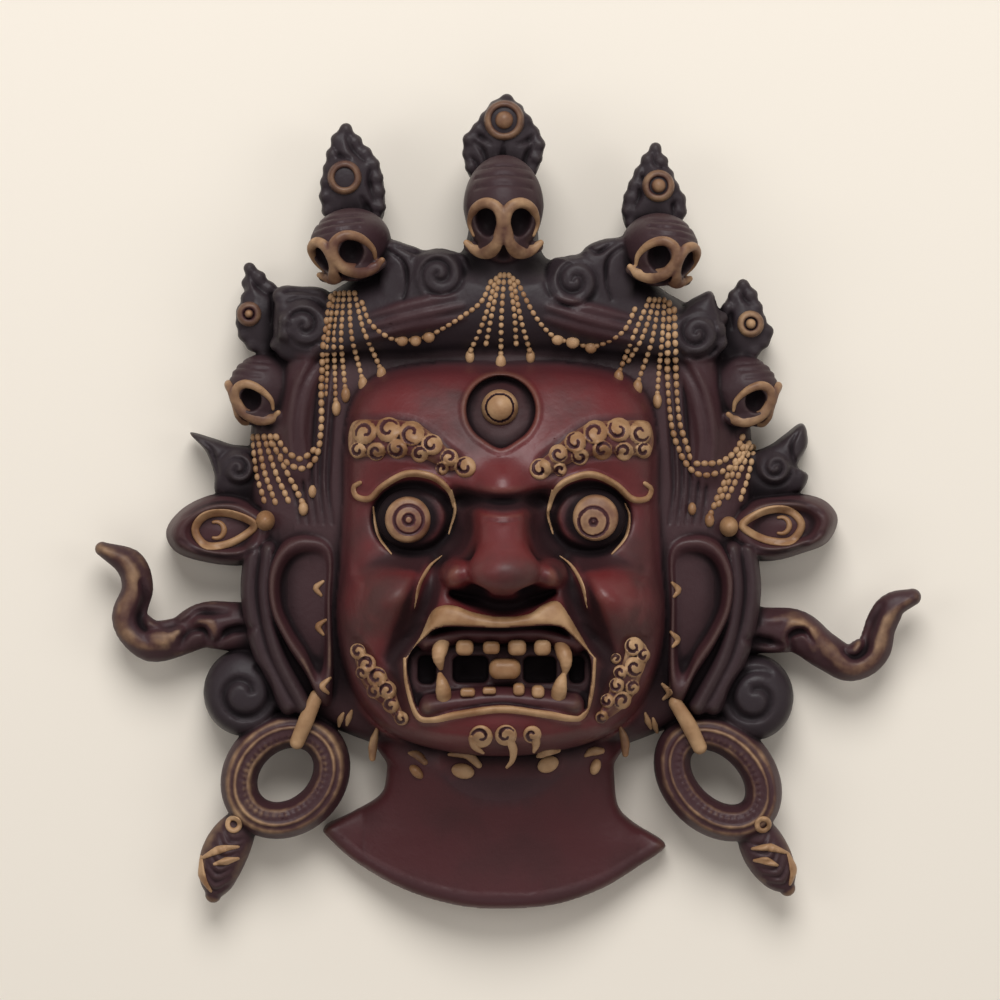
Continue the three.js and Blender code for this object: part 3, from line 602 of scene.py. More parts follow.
GUMS = [([(-24, -41), (-13, -38.6), (-2, -38.8), (9, -38.5), (20.5, -41.5)], 2.9),
        ([(-23, -60), (-13, -58.6), (-2, -57.6), (8, -58.4), (19.5, -59.6)], 3.4)]
TEETH = [  # x, y, half width, half height, front
    (-12.7, -42.6, 2.6, 2.3, 54), (-4.8, -42.6, 2.5, 1.9, 54),
    (2.8, -42.6, 2.7, 2.3, 54), (10.3, -42.6, 2.5, 2.3, 54),
    (-11.8, -55.9, 2.2, 1.2, 53), (-5.4, -55.4, 2, 1, 53), (3.3, -55, 1.7, 1.8, 53), (9, -55.7, 1.9, 1.8, 53),
]
FANGS = [  # from root to tip
    [(-19.4, -41.4), (-20.4, -45), (-19.8, -48.6)], [(16, -42.4), (17.2, -46.4), (17, -50)],
    [(-18.8, -57.4), (-19.2, -54), (-20, -50.6)], [(15, -57), (15.6, -53.6), (16.6, -50.6)],
]
TONGUE = (-0.8, -49, 4.7, 3)
POCKETS = [(-24, -49.4, 2.6, 4.2), (-11, -49.3, 5.2, 3.9), (9.6, -49.4, 4.8, 3.9), (20.6, -49.4, 2.2, 4)]
BEARD = [
    {
        "outline": [(-46, -42.5), (-42.6, -43.6), (-40, -47.6), (-36.8, -50.4), (-34, -54), (-32.4, -59),
                    (-30.6, -64.6), (-33, -65), (-36.2, -61), (-40.5, -57.4), (-44, -52)],
        "curls": [(-44.6, -44, 2.2, 30), (-41.9, -47.6, 2.6, 200), (-38.9, -51.5, 2.8, 30),
                  (-35.7, -55.4, 2.5, 210), (-34.8, -60, 2.2, 40), (-31.6, -64, 2, 120),
                  (-43.4, -50.4, 1.8, 280), (-39.8, -56, 2, 100)],
    },
    {
        "outline": [(36, -40.6), (40.4, -41.4), (42, -45.4), (40, -51), (38.4, -56), (35, -60.6), (29, -64.6),
                    (27.4, -62.4), (30, -56), (32.6, -51), (34.6, -45.6)],
        "curls": [(37.5, -42.4, 2.6, 120), (37.8, -48.6, 2.8, 320), (40.5, -45.2, 1.9, 60),
                  (32.2, -46, 1.5, 200), (33.4, -50, 1.9, 300), (32.4, -54, 2.1, 120), (37.2, -54.8, 2, 20),
                  (34.2, -58.6, 2.5, 230), (29.6, -58.6, 1.9, 100), (28, -63.6, 1.8, 330)],
    },
    {
        "outline": None,
        "curls": [(-7.9, -69, 3.2, 200), (-0.5, -68.6, 3, 30), (7.3, -68.4, 2.5, 330)],
    },
]
CHIN_TAILS = [
    [(0.6, -70), (1.7, -73), (1.4, -76.4), (-0.2, -78.6)], [(-10.4, -69.6), (-9.6, -72.2), (-7.2, -74.2)],
    [(8.4, -69.8), (8.4, -72), (7.8, -73.8)],
]
DROPLETS = [  # x, y, half length, half width, turn
    (-13.4, -80.4, 3.5, 2.3, -12), (12.2, -78.4, 3.3, 2.4, 24),
    (-27.4, -80.8, 2.7, 1.5, -45), (26.5, -79.4, 2.5, 1.6, 70),
]
TUFTS = [  # from root to tip
    [(-17.6, -75.4), (-12.2, -75.4), (-8.6, -78.6)], [(9, -76), (11.6, -74.2), (15, -73.8)],
    [(-29.6, -75.2), (-27, -75.8), (-24.8, -77.8)], [(23.4, -76), (25.4, -74.8), (28.4, -74.6)],
    [(-39.4, -68), (-40.6, -73), (-40.8, -77)], [(34, -67.4), (35.4, -71.6), (35.6, -75.6)],
]
WHISKERS = [
    [(-55.4, -23.4), (-57.6, -25.4), (-56, -27.6)], [(-54.6, -35), (-57, -37), (-55.4, -39.4)],
    [(-53.2, -52.4), (-55.6, -54.8), (-53.8, -57)], [(49.4, -23.8), (51.4, -26), (50, -28)],
    [(49, -38.6), (51.2, -41), (49.6, -43)], [(46.6, -54.4), (48.8, -57), (47, -59)],
    [(-47, -62.6), (-48, -65), (-48.6, -67)], [(-49.6, -63.4), (-50.6, -65.4), (-51, -67.4)],
    [(41.6, -63.4), (42.4, -65.8), (43.4, -68)], [(44, -65), (44.6, -67.2), (45.4, -69.4)],
]


def make_mouth():
    mask.join(plate(UPPER_LIP, 1.6, 2.4, spacing=0.6), 0.8, FACE)
    mask.join(on_front(LOWER_LIP, 1.4, 1.2), 0.8, FACE)
    for side in (-1, 1):
        beside = on_side([(24, -38), (29.5, -45), (30, -54), (26.5, -63)], side)
        # Beside the corners of the mouth the face is painted dark: dark wash with painted shade
        mask.carve(on_front(beside, (1.5, 3.4, 3, 1.5), (0.4, 1.2, 1.2, 0.4)), 2, (0.3, -0.6))
    mask.carve(pit(MOUTH, MOUTH_FLOOR), 0.6, (0.4, -0.2))
    # The deep pockets of the mouth are painted near-black: painted shade in them
    for x, y, wide, high in POCKETS:
        mask.carve(lump((x, y, MOUTH_FLOOR + 2), (wide, high, 7), 1.8), 1, DARK)
    for line, wide in GUMS:
        mask.join(band([(x, y, MOUTH_FLOOR) for x, y in line], wide, 8), 1.5, GUM)
    trim(
        ("join", plate(UPPER_LIP, 0.9, 1.2, spacing=0.6), 0, BONE),
        ("join", on_front(LOWER_LIP, (0.5, 0.7, 1.3, 1.3, 1.3, 0.7, 0.5), 0.9), 0, BONE),
        ("carve", pit(MOUTH, MOUTH_FLOOR), 0.4, None),
    )
    teeth = []
    for x, y, wide, high, front in TEETH:
        teeth.append(lump((x, y, front - 5), (wide, high, 5), 0.75 * min(wide, high)))
    for root, middle, tip in FANGS:
        teeth.append(rod(smooth([(*root, 50), (*middle, 52.4), (*tip, 51)]), (2.2, 2.3, 1.7, 0.8)))
    x, y, wide, high = TONGUE
    teeth.append(lump((x, y, MOUTH_FLOOR + 3), (wide, high, 4.8), 2.6))
    trim(*(("join", tooth, 0.2, BONE) for tooth in teeth))


def make_beard():
    for patch in BEARD:
        if patch["outline"]:
            # A groove round each patch of beard, painted dark: dark wash with painted shade round the raised
            # curls
            mask.carve(on_front(patch["outline"], 1.4, 0.8, closed=True), 1.2, CUT)
        trim(*curled(patch["outline"], patch["curls"]))
    for tail in CHIN_TAILS:
        trim(("join", on_front(tail, (1.3, 1.3, 0.9, 0.5), (1.3, 1.3, 1, 0.5), spacing=0.7), 0, BONE))
    for x, y, long, short, turn in DROPLETS:
        trim(("join", ellipsoid((x, y, mask.height(x, y) + 0.3), (long, short, 2), turn), 0, BONE))
    for tuft in TUFTS:
        level = mask.height(*tuft[0])
        hung = [(x, y, max(level - k, mask.height(x, y))) for k, (x, y) in enumerate(tuft)]
        trim(("join", rod(smooth(hung, spacing=0.8), (0.5, 1.2, 1.4, 1)), 0, (0.4, 0.45)))
    for line in WHISKERS:
        trim(("join", on_front(line, (0.5, 1, 0.5), (0.5, 1, 0.5), spacing=0.7), 0, GOLD))


# Ears, hair, neck and side flowers
EAR_HALF = [(50, -12), (58, -8), (66, -11), (70.5, -20), (70, -32), (65, -43), (59, -52), (54, -61),
            (50, -56), (50, -30)]
EAR_FRONT = [(1, 22), (0.9, 29.5), (0.76, 29.5), (0.6, 24), (0, 23.4)]
HAIR_LINES = (50.5, 53, 55.5, 58, 60.5)
LOCKS = [(72.5, -14), (73.5, -28), (70, -45), (62, -61)]
NECK_LINE = [(-36, -68), (-36.5, -80), (-38.5, -88.5), (-47, -94), (-55.6, -98.4), (-54.5, -101.8),
             (-45, -110), (-31, -117.3), (-16, -121.6), (-3, -122.7), (14, -121.6), (29, -116.8),
             (41, -109.8), (47.4, -105.4), (47.2, -102.8), (38, -97), (33.5, -91.5), (32.3, -80), (32, -68)]
NECK_RIM = [(-54, -99.6), (-44, -108), (-30.5, -115), (-16, -119.2), (-3, -120.3), (14, -119.2),
            (28.5, -114.6), (40, -108), (46, -104)]
FLOWERS = [
    {
        "petal": [(-68, -6), (-78, 1.5), (-88, 3), (-98, -1), (-103.6, -8), (-101, -14.5), (-92, -17.8),
                  (-80, -18.8), (-71, -15)],
        "knot": (-73, -5.2),
        "drop": [(-76.5, -6), (-84, -3), (-91, -3.6), (-94.3, -8), (-91, -12.6), (-84.5, -12.2), (-78.5, -9)],
        "heart": (-88, -8, 2.5),
        "arcs": [[(-75, -1.5), (-82, 0.6), (-90, 0), (-97.5, -4)],
                 [(-74, -13), (-82, -16), (-91, -15.4), (-98.5, -11)]],
    },
    {
        "petal": [(64, -7), (72, 1), (84, 3.2), (94, 2), (99, -1.5), (100.3, -6), (97, -12), (90, -15),
                  (80, -17.5), (69, -16)],
        "knot": (66.7, -7),
        "drop": [(71, -6), (78, -2.2), (85, -2.2), (88.8, -6.4), (85.6, -11.2), (79, -11.2), (73, -8.6)],
        "heart": (82.6, -6.6, 2.5),
        "arcs": [[(71, -1.6), (79, 1.2), (88, 0.6), (95, -3)],
                 [(71, -12), (79, -14.8), (87.5, -13.6), (94.6, -8.6)]],
    },
]
PETAL_FRONT = [(1, 13), (0.82, 22), (0.66, 24), (0.48, 20), (0, 21)]


def make_ears():
    for side in (-1, 1):
        for away, wide in ((-2.6, 3), (2, 3.2)):
            lock = [(x + side * away, y, 17.5 - 0.4 * away) for x, y in on_side(LOCKS, side)]
            mask.join(band(lock, wide, 8), 1.6, HAIR)
        middle = on_side([(59, -29)], side)[0]
        mask.join(boss(on_side(EAR_HALF, side), middle, 4, ringed(EAR_FRONT), rim=2), 0.8, EAR)
        for away in HAIR_LINES:
            line = on_side([(away - 1, 42), (away + 0.6, 22), (away + 1.4, 6), (away, -6)], side)
            # The hair grooves are painted dark: dark wash with painted shade in them
            mask.carve(on_front(line, (0.4, 0.9, 0.9, 0.4), (0.4, 1.3, 1.3, 0.4)), 0.8, (0.15, -0.4))


def neck_lift(x, y):
    sideways = np.maximum(0, 1 - ((x - AXIS_X) / 42) ** 2)
    t = np.clip((y + 122) / 46, 0, 1)
    high = t * t * (3 - 2 * t)
    return sideways * (8 + 12 * high * high)


def make_neck():
    mask.join(boss(NECK_LINE, (-3, -101), 0, dome(10, 12, 1), neck_lift, rim=3), 1.5, NECK)
    mask.join(on_front(NECK_RIM, (0.6, 1.4, 1.6, 1.4, 0.6), (0.2, 0.4, 0.4, 0.4, 0.2)), 1.5, (0.3, -0.2))


def make_flowers():
    for flower in FLOWERS:
        middle = np.mean(flower["petal"], axis=0)
        mask.join(boss(flower["petal"], middle, 3, ringed(PETAL_FRONT), rim=2), 0.8, (0.3, 0.12))
        for line in flower["arcs"]:
            mask.carve(on_front(line, (0.4, 0.9, 0.4), (0.5, 1.4, 0.5)), 0.8, DARK)
        x, y, reach = flower["heart"]
        trim(
            ("join", on_front(flower["drop"], 1.2, 1.3, closed=True), 0, (0.5, 0.6)),
            ("join", on_front(arc(x, y, reach, -110, 110), (0.5, 0.9, 0.5), 0.9, spacing=0.6), 0, GOLD),
        )
        x, y = flower["knot"]
        trim(("join", ellipsoid((x, y, 22), (2.9, 3.1, 6)), 0, BONE))


# Crown
CAP = [(-64, 44), (-66, 52), (-56, 62), (-36, 73), (-15, 75), (-10, 92), (-1, 97), (8, 92), (12, 74),
       (34, 72), (53, 60), (62, 50), (60, 43), (44, 43), (22, 44), (-2, 45), (-26, 44), (-48, 44)]
CAP_SIDE = [(57, 48), (60.5, 36), (62, 24), (61.5, 11)]
FINIALS = [
    {
        "outline": [(0, 122.7), (5, 118), (9.5, 111.5), (11, 107), (7.5, 98), (-1, 94), (-11, 98),
                    (-13.3, 108.5), (-10, 113.5), (-4.5, 120.3)],
        "boss": (-1, 114.8, 6.2), "ball": 3.3, "centre": (-1, 108), "back": 18, "top": 33,
        "grooves": [[(-10.5, 109), (-7.5, 106), (-6, 101)], [(8, 108), (6, 105), (4.5, 101)],
                    [(-1, 108.5), (-1.5, 104), (-1, 99)], [(-12, 105), (-9.6, 102), (-9, 98)],
                    [(8.6, 112), (6.4, 109), (3, 107.6)], [(-10, 112.6), (-8, 110), (-5, 108)]],
    },
    {
        "outline": [(-48.7, 114.4), (-44, 109), (-39.5, 104), (-37.4, 96), (-38, 86), (-46, 80), (-54.5, 86),
                    (-56.4, 94), (-54.5, 104), (-51.8, 111.5)],
        "boss": (-49, 98, 5.3), "ball": 0, "centre": (-47.5, 97), "back": 12, "top": 27,
        "grooves": [[(-48.6, 112), (-47, 107), (-43, 103)], [(-52.5, 108), (-51, 105), (-47.5, 103.6)],
                    [(-41, 102), (-41.5, 97), (-40, 91)], [(-44, 92), (-42, 89), (-41, 87)]],
    },
    {
        "outline": [(44.7, 108.6), (47.5, 103.5), (52, 94.5), (54, 89.5), (51, 82), (44, 78), (37, 82),
                    (34.7, 89), (36.8, 96.5), (41, 104)],
        "boss": (45.4, 95.5, 5), "ball": 2.8, "centre": (44.5, 92), "back": 12, "top": 27,
        "grooves": [[(44.5, 107), (44, 103), (46.5, 101)], [(38.6, 97), (39.8, 93), (38, 89)],
                    [(41, 102), (40.6, 99), (41, 95)], [(51.5, 92), (50, 90), (50, 87)]],
    },
    {
        "outline": [(-78.4, 72.6), (-73, 68), (-67, 62), (-66, 50), (-74, 45), (-80.5, 49.5), (-81.9, 57),
                    (-79.8, 63)],
        "boss": (-78, 57.2, 3.9), "ball": 2, "centre": (-75, 56), "back": 4, "top": 21,
        "grooves": [[(-78, 70), (-76, 66), (-72, 63)], [(-72, 65), (-70.5, 60), (-71, 55)]],
    },
    {
        "outline": [(71.3, 67.6), (75.5, 62.5), (78, 55.5), (80.2, 50.3), (74, 44), (66, 44), (62, 52),
                    (65.5, 60)],
        "boss": (73.4, 54.2, 4.2), "ball": 2.2, "centre": (71, 54), "back": 4, "top": 21,
        "grooves": [[(71, 65.5), (71.5, 62), (74, 60)], [(68, 61), (67.4, 57), (68, 53)]],
    },
]
KNOB = 1.8  # radius of the knobs along the edge of a finial
LEAVES = [
    {"outline": [(-37, 78), (-29, 77.6), (-22, 74.6), (-12, 74), (-10, 60), (-24, 55), (-38, 60)],
     "swirl": (-20.5, 68.5, 8, -1), "back": 6, "top": 37},
    {"outline": [(13, 73), (20, 72.7), (24, 77.5), (31, 79.8), (38, 78), (37, 60), (22, 55), (10, 60)],
     "swirl": (20, 66.5, 8, 1), "back": 6, "top": 37},
    {"outline": [(-70, 64), (-62, 65.6), (-54, 64), (-51, 54), (-54, 44), (-63, 42), (-70, 46)],
     "swirl": (-61, 53.5, 8, -1), "back": 4, "top": 29},
    {"outline": [(53.5, 60), (58, 63), (61.6, 64.2), (63.4, 60), (66, 50), (62, 43), (52, 42), (49, 52)],
     "swirl": (56.8, 51, 7.5, 1), "back": 4, "top": 29},
    {"outline": [(-96.8, 21.6), (-90, 20), (-84, 18), (-75, 16), (-71, 6), (-78, 0), (-88.3, 2.5), (-89.3, 9),
                 (-92, 16)],
     "swirl": (-81.5, 10.5, 5.5, -1), "back": 3, "top": 17},
    {"outline": [(90, 24.5), (84.5, 21), (79, 17), (71, 14), (68, 4), (78, 0), (88.5, 3), (91.7, 8.5),
                 (88.3, 11.5), (91.5, 18)],
     "swirl": (81, 11, 5.5, 1), "back": 3, "top": 17},
]
VEINS = [
    [(-36, 76), (-31, 72), (-30, 66), (-31, 61)], [(-33, 77), (-27, 75), (-22, 77)],
    [(35.5, 77.5), (30, 73), (29.5, 66), (31, 61)], [(32, 78), (27, 75), (24, 76.5)],
    [(-69, 63), (-64, 64), (-57, 63)], [(-52.5, 61), (-52, 54), (-54, 47)],
    [(60.5, 62.5), (56, 61), (51.5, 57)],
    [(64, 56), (64.6, 50), (61, 44.5)],
    [(-95, 20.5), (-89.5, 16), (-87.5, 9)], [(88.8, 23), (86, 17), (88, 9)],
]
CAP_RIDGES = [
    [(-42, 49), (-28, 52.4), (-13, 55.4)], [(-42, 52.6), (-28, 56), (-13.6, 59)],
    [(-41, 56.2), (-29, 59.4), (-16, 62)],
    [(39, 48), (25, 51), (11.5, 55)], [(39, 51.6), (25.5, 54.6), (12, 58.6)],
    [(38, 55.2), (26, 58), (14, 61.4)],
    [(-53, 46), (-59.4, 35), (-61.6, 23), (-60.6, 12)], [(-57, 47), (-63.2, 36), (-65.4, 24), (-64.6, 13)],
    [(50, 44), (55.6, 33), (58, 21), (57.6, 12)], [(53.6, 45), (59.4, 34), (62, 22), (61.6, 12)],
]
SKULLS = [  # place, turn, tilt, half width, half height of the brain case, reach of the face below it
    ((-1.2, 88.5, 38), 0, 0, 12, 15.5, 17), ((-47, 78, 32), -24, 12, 11.5, 10.5, 11.5),
    ((45.5, 76.5, 32), 24, -10, 11, 10.5, 11.5),
    ((-72.5, 35, 16), -50, 0, 10, 10.5, 12), ((70, 34.5, 16), 50, 0, 10, 10.5, 12),
]
SKULL_FORM = {"depth": 1.3, "jaw": 0.12, "eye_x": 0.43, "eye_y": 0.3}


def make_leaves():
    for leaf in LEAVES:
        top = leaf["top"]
        middle = np.mean(leaf["outline"], axis=0)
        mask.join(boss(leaf["outline"], middle, leaf["back"], dome(top - 7, top, 0.6), rim=2), 1, CROWN)
        x, y, radius, way = leaf["swirl"]
        front = ringed([(1, top - 2.5), (0.75, top + 2), (0.4, top + 2), (0, top + 3)])
        mask.join(boss(ring(x, y, radius, radius), (x, y), leaf["back"], front, rim=2), 2.5, CROWN)
        mask.carve(on_front(spiral(x, y, radius + 1, 0.6, 2, 150, way), (0.4, 0.8, 0.7), (0.5, 1.3, 1.1)), 1)
    for vein in VEINS:
        mask.carve(on_front(vein, (0.3, 0.8, 0.4), (0.5, 1.6, 0.6)), 0.8)


def make_finials():
    for finial in FINIALS:
        top, back = finial["top"], finial["back"]
        mask.join(boss(finial["outline"], finial["centre"], back, dome(top - 8, top, 0.7), rim=2), 1, CROWN)
        for groove in finial["grooves"]:
            mask.carve(on_front(groove, (0.4, 1, 0.4), (0.6, 1.6, 0.6)), 1)
        for place in smooth(finial["outline"], closed=True, spacing=5)[:-1]:
            inward = np.array(finial["centre"]) - place
            x, y = place + 0.8 * KNOB * inward / np.linalg.norm(inward)
            mask.join(ellipsoid((x, y, mask.height(x, y) - 0.8), (KNOB, KNOB, 1.4 * KNOB)), 2, CROWN)
        x, y, radius = finial["boss"]
        round_boss = boss(ring(x, y, radius, radius), (x, y), back, dome(top - 1, top + 0.5, 1), rim=1)
        mask.join(round_boss, 0.8, CROWN)
        loop = ring(x, y, radius - 1.2, radius - 1.2)
        steps = [("join", on_front(loop, 1.1, 1.4, closed=True), 0, (0.3, 0.3))]
        if finial["ball"]:
            ball = finial["ball"] - 0.6
            steps.append(("join", ellipsoid((x, y, top + 0.4), (ball, ball, 2.4)), 0, (0.4, 0.45)))
        trim(*steps)


def make_skull(at, yaw, tilt, half, brow, face):
    c, s = math.cos(math.radians(yaw)), math.sin(math.radians(yaw))
    cr, sr = math.cos(math.radians(tilt)), math.sin(math.radians(tilt))
    deep = half * SKULL_FORM["depth"]

    def case(x, y, z, block):
        px, py, pz = x - at[0], y - at[1], z - at[2]
        px, py = px * cr + py * sr, py * cr - px * sr
        u, w = px * c - pz * s, px * s + pz * c
        jaw = 1 - SKULL_FORM["jaw"] * np.clip(-py / face, 0, 1)
        tall = np.where(py > 0, brow, face)
        out = np.sqrt((u / (half * jaw)) ** 2 + (py / tall) ** 2 + (w / deep) ** 2)
        return (out - 1) * half * 0.9

    def placed(x, y, z):
        across, out = x * c + z * s, z * c - x * s
        return (at[0] + across * cr - y * sr, at[1] + across * sr + y * cr, at[2] + out)

    def on_case(u, v, above):
        """A place on the case, from shares of its half width and of its face's reach."""
        x, y = u * half, v * face
        jaw = 1 - SKULL_FORM["jaw"] * max(0, min(1, -v))
        left = 1 - (u / jaw) ** 2 - (y / (brow if y > 0 else face)) ** 2
        return placed(x, y, deep * math.sqrt(max(left, 0.05)) + above * half)

    reach = max(brow, face, deep, half)
    mask.join(([v - reach for v in at], [v + reach for v in at], case), 1, SKULL)
    eye_x, eye_y = SKULL_FORM["eye_x"], -SKULL_FORM["eye_y"]
    ridges = []
    for side in (-1, 1):
        cheek = [on_case(side * u, v, -0.06) for u, v in ((0.2, -0.62), (0.5, -0.78), (0.85, -0.7))]
        mask.join(rod(smooth(cheek), np.array([0.16, 0.22, 0.14]) * half), 1, SKULL)
        angles = np.radians((225, 180, 135, 90, 45, 0, -40))
        high = 0.46 * half / face
        over_eye = [on_case(side * (eye_x + 0.4 * np.cos(a)), eye_y + high * np.sin(a), 0) for a in angles]
        ridges.append((over_eye, (0.1, 0.15, 0.14, 0.13, 0.11, 0.08, 0.05)))
        cheekbone = ((0.05, -0.46), (0.15, -0.66), (0.4, -0.8), (0.7, -0.76), (0.92, -0.64))
        ridges.append(([on_case(side * u, v, 0.02) for u, v in cheekbone], (0.11, 0.17, 0.2, 0.16, 0.08)))
        for lift in (0.3, 0.5, 0.68):
            crease = []
            for u in (0.0, 0.3, 0.55, 0.72):
                crease.append(on_case(side * u, (lift + 0.1 * (1 - u)) * brow / face, 0.02))
            mask.carve(rod(smooth(crease), 0.05 * half), 0.5)
    # The eye sockets and nose of each skull are painted near-black: dark wash with painted shade in the holes
    for side in (-1, 1):
        x, y, z = on_case(side * eye_x, eye_y, -0.12)
        mask.carve(ellipsoid((x, y, z), (0.32 * half, 0.37 * half, 0.4 * half), tilt), 0.5, DARK)
    nose = smooth([on_case(0, -0.7, 0.04), on_case(0, -0.95, 0.04)])
    mask.carve(rod(nose, np.array([0.07, 0.17]) * half), 0.5, DARK)
    bone = [("join", rod(smooth(line), np.array(radii) * half), 0.6, (0.4, 0.42)) for line, radii in ridges]
    trim(*bone, ("carve", rod(nose, np.array([0.07, 0.17]) * half), 0.3, DARK))


def make_crown():
    mask.join(boss(CAP, (-1.5, 62), 5, dome(24, 40, 1.4), rim=3), 2.5, CROWN)
    for side in (-1, 1):
        mask.join(band([(x, y, 19) for x, y in on_side(CAP_SIDE, side)], 6, 8.5), 3, HEAD)
    make_leaves()
    make_finials()
    for ridge in CAP_RIDGES:
        mask.join(on_front(ridge, (0.5, 1.4, 1.4, 0.6), (0.4, 1.2, 1.2, 0.5)), 1.2, (0.25, 0.0))
    for skull in SKULLS:
        make_skull(*skull)


# Bead strings
STRINGS = [
    [(-5, 66), (-8, 60), (-14, 55.5), (-20, 52), (-24, 50), (-31, 48.8), (-36, 50), (-41, 54), (-43.5, 60)],
    [(3, 66), (7, 58), (11, 52.5), (15, 49.4), (20, 48.2), (25, 47), (30, 48.5), (35, 52), (38, 58)],
    [(-3.4, 67), (-7, 55), (-11, 46)], [(-2.2, 68), (-4.6, 57), (-6.4, 48)], [(-1, 68), (-1.8, 56), (-2, 45)],
    [(0.4, 68), (2, 57), (2.6, 48)], [(1.6, 67), (4, 55), (6.6, 46)],
    [(-53, 62), (-55, 50), (-56, 36), (-56, 24), (-57.5, 14), (-62, 10.5), (-67, 13), (-71, 18)],
    [(-51.8, 63), (-54, 48), (-54.4, 33)], [(-50.4, 63), (-52, 48), (-51.6, 31)],
    [(-49, 63), (-49.8, 48), (-48.8, 35)],
    [(-47.4, 63), (-46.6, 50), (-43.8, 38)], [(-45.8, 63), (-43, 52), (-38.4, 41)],
    [(-58.4, 16), (-62, 13.4), (-66, 15.4), (-69.6, 20)],
    [(48.5, 60), (48, 44), (49, 26), (52, 15), (57, 9), (64, 9.5), (70, 13), (73, 18)],
    [(50, 58), (50.6, 41), (51.8, 25), (55, 14)],
    [(47, 61), (46, 46), (45, 33)], [(45.4, 61), (43, 48), (39.4, 37)],
    [(44, 61), (40.4, 50), (36.4, 43)], [(42.4, 61), (38, 51), (33.8, 40)],
    [(57, 12), (63.6, 12.4), (68.6, 15.6), (71, 20)],
    [(-77, 20), (-76, 10), (-73.4, 1)], [(-75.4, 20), (-73.4, 10), (-70, 0.5)],
    [(-73.4, 20), (-69.6, 9), (-66, 1)],
    [(-71.4, 20), (-66, 9), (-61.8, 0.5)],
    [(75, 17), (72.6, 8), (70.4, 1.5)], [(73.6, 17), (69.4, 8), (66.4, 2)],
    [(72.2, 17), (66.8, 7), (63.6, 0)], [(71, 17), (65, 6), (61.2, -3)],
]
DROPS = [  # pendants and bigger beads: x, y, half width, half height
    (-11.3, 44, 1.4, 2.2), (-2, 42.2, 1.6, 2.6), (6.9, 44, 1.4, 2.2),
    (-51.4, 28.6, 1.4, 2.4), (-48.6, 32.6, 1.4, 2.4),
    (-43.4, 35.8, 1.5, 2.4), (-37.8, 38.8, 1.5, 2.4), (45, 30.8, 1.4, 2.4), (39, 34.8, 1.5, 2.4),
    (33.3, 37.8, 1.5, 2.4), (-61.4, -1.6, 1.5, 2.2),
    (-58.6, 3.6, 1.3, 2), (60.8, -5, 1.5, 2.2), (55.5, -1.6, 1.3, 2),
    (-31.5, 48.8, 1.8, 1.8), (-27.5, 48.8, 1.8, 1.8), (-23.5, 49.8, 1.8, 1.8), (15, 49.2, 1.9, 1.9),
    (19.5, 48.4, 2.1, 2.1), (25, 46.8, 1.9, 1.9),
]
BEAD = {"wide": 0.8, "long": 1.0, "pitch": 2.1, "sink": 0.2, "lower": 1.2, "lower_y": 38, "rub_and_shade": 0.95}


def bead_ball():
    """Corners and triangles of one bead of unit size."""
    made = bpy.data.meshes.new("bead")
    shape = bmesh.new()
    bmesh.ops.create_icosphere(shape, subdivisions=2, radius=1)
    shape.to_mesh(made)
    shape.free()
    corners = np.array([v.co for v in made.vertices])
    faces = np.array([p.vertices for p in made.polygons])
    bpy.data.meshes.remove(made)
    return corners, faces


def bead_places():
    """Where each bead lies, which way its string runs there, and its half sizes."""
    places = []
    for string in STRINGS:
        size = BEAD["lower"] if np.mean(string, axis=0)[1] < BEAD["lower_y"] else 1
        line = smooth(string, spacing=size * BEAD["pitch"])
        level = np.array([mask.height(x, y) for x, y in line])
        level = np.maximum(level, np.convolve(np.pad(level, 2, "edge"), np.ones(5) / 5, "valid"))
        run = np.gradient(line, axis=0)
        for (x, y), z, (dx, dy) in zip(line, level, run):
            sizes = (size * BEAD["long"], size * BEAD["wide"], size * BEAD["wide"])
            places.append(((x, y, z - BEAD["sink"]), math.atan2(dy, dx), sizes))
    for x, y, wide, high in DROPS:
        places.append(((x, y, mask.height(x, y) + 0.3), math.pi / 2, (high, wide, 1.5)))
    return places


def make_beads():
    corners, faces = bead_ball()
    points, triangles = [], []
    for k, (place, angle, sizes) in enumerate(bead_places()):
        c, s = math.cos(angle), math.sin(angle)
        along, across, up = (corners * np.array(sizes)).T
        turned = np.stack([along * c - across * s, along * s + across * c, up], axis=1)
        points.append(turned + np.array(place))
        triangles.append(faces + k * len(corners))
    return np.vstack(points), np.vstack(triangles)


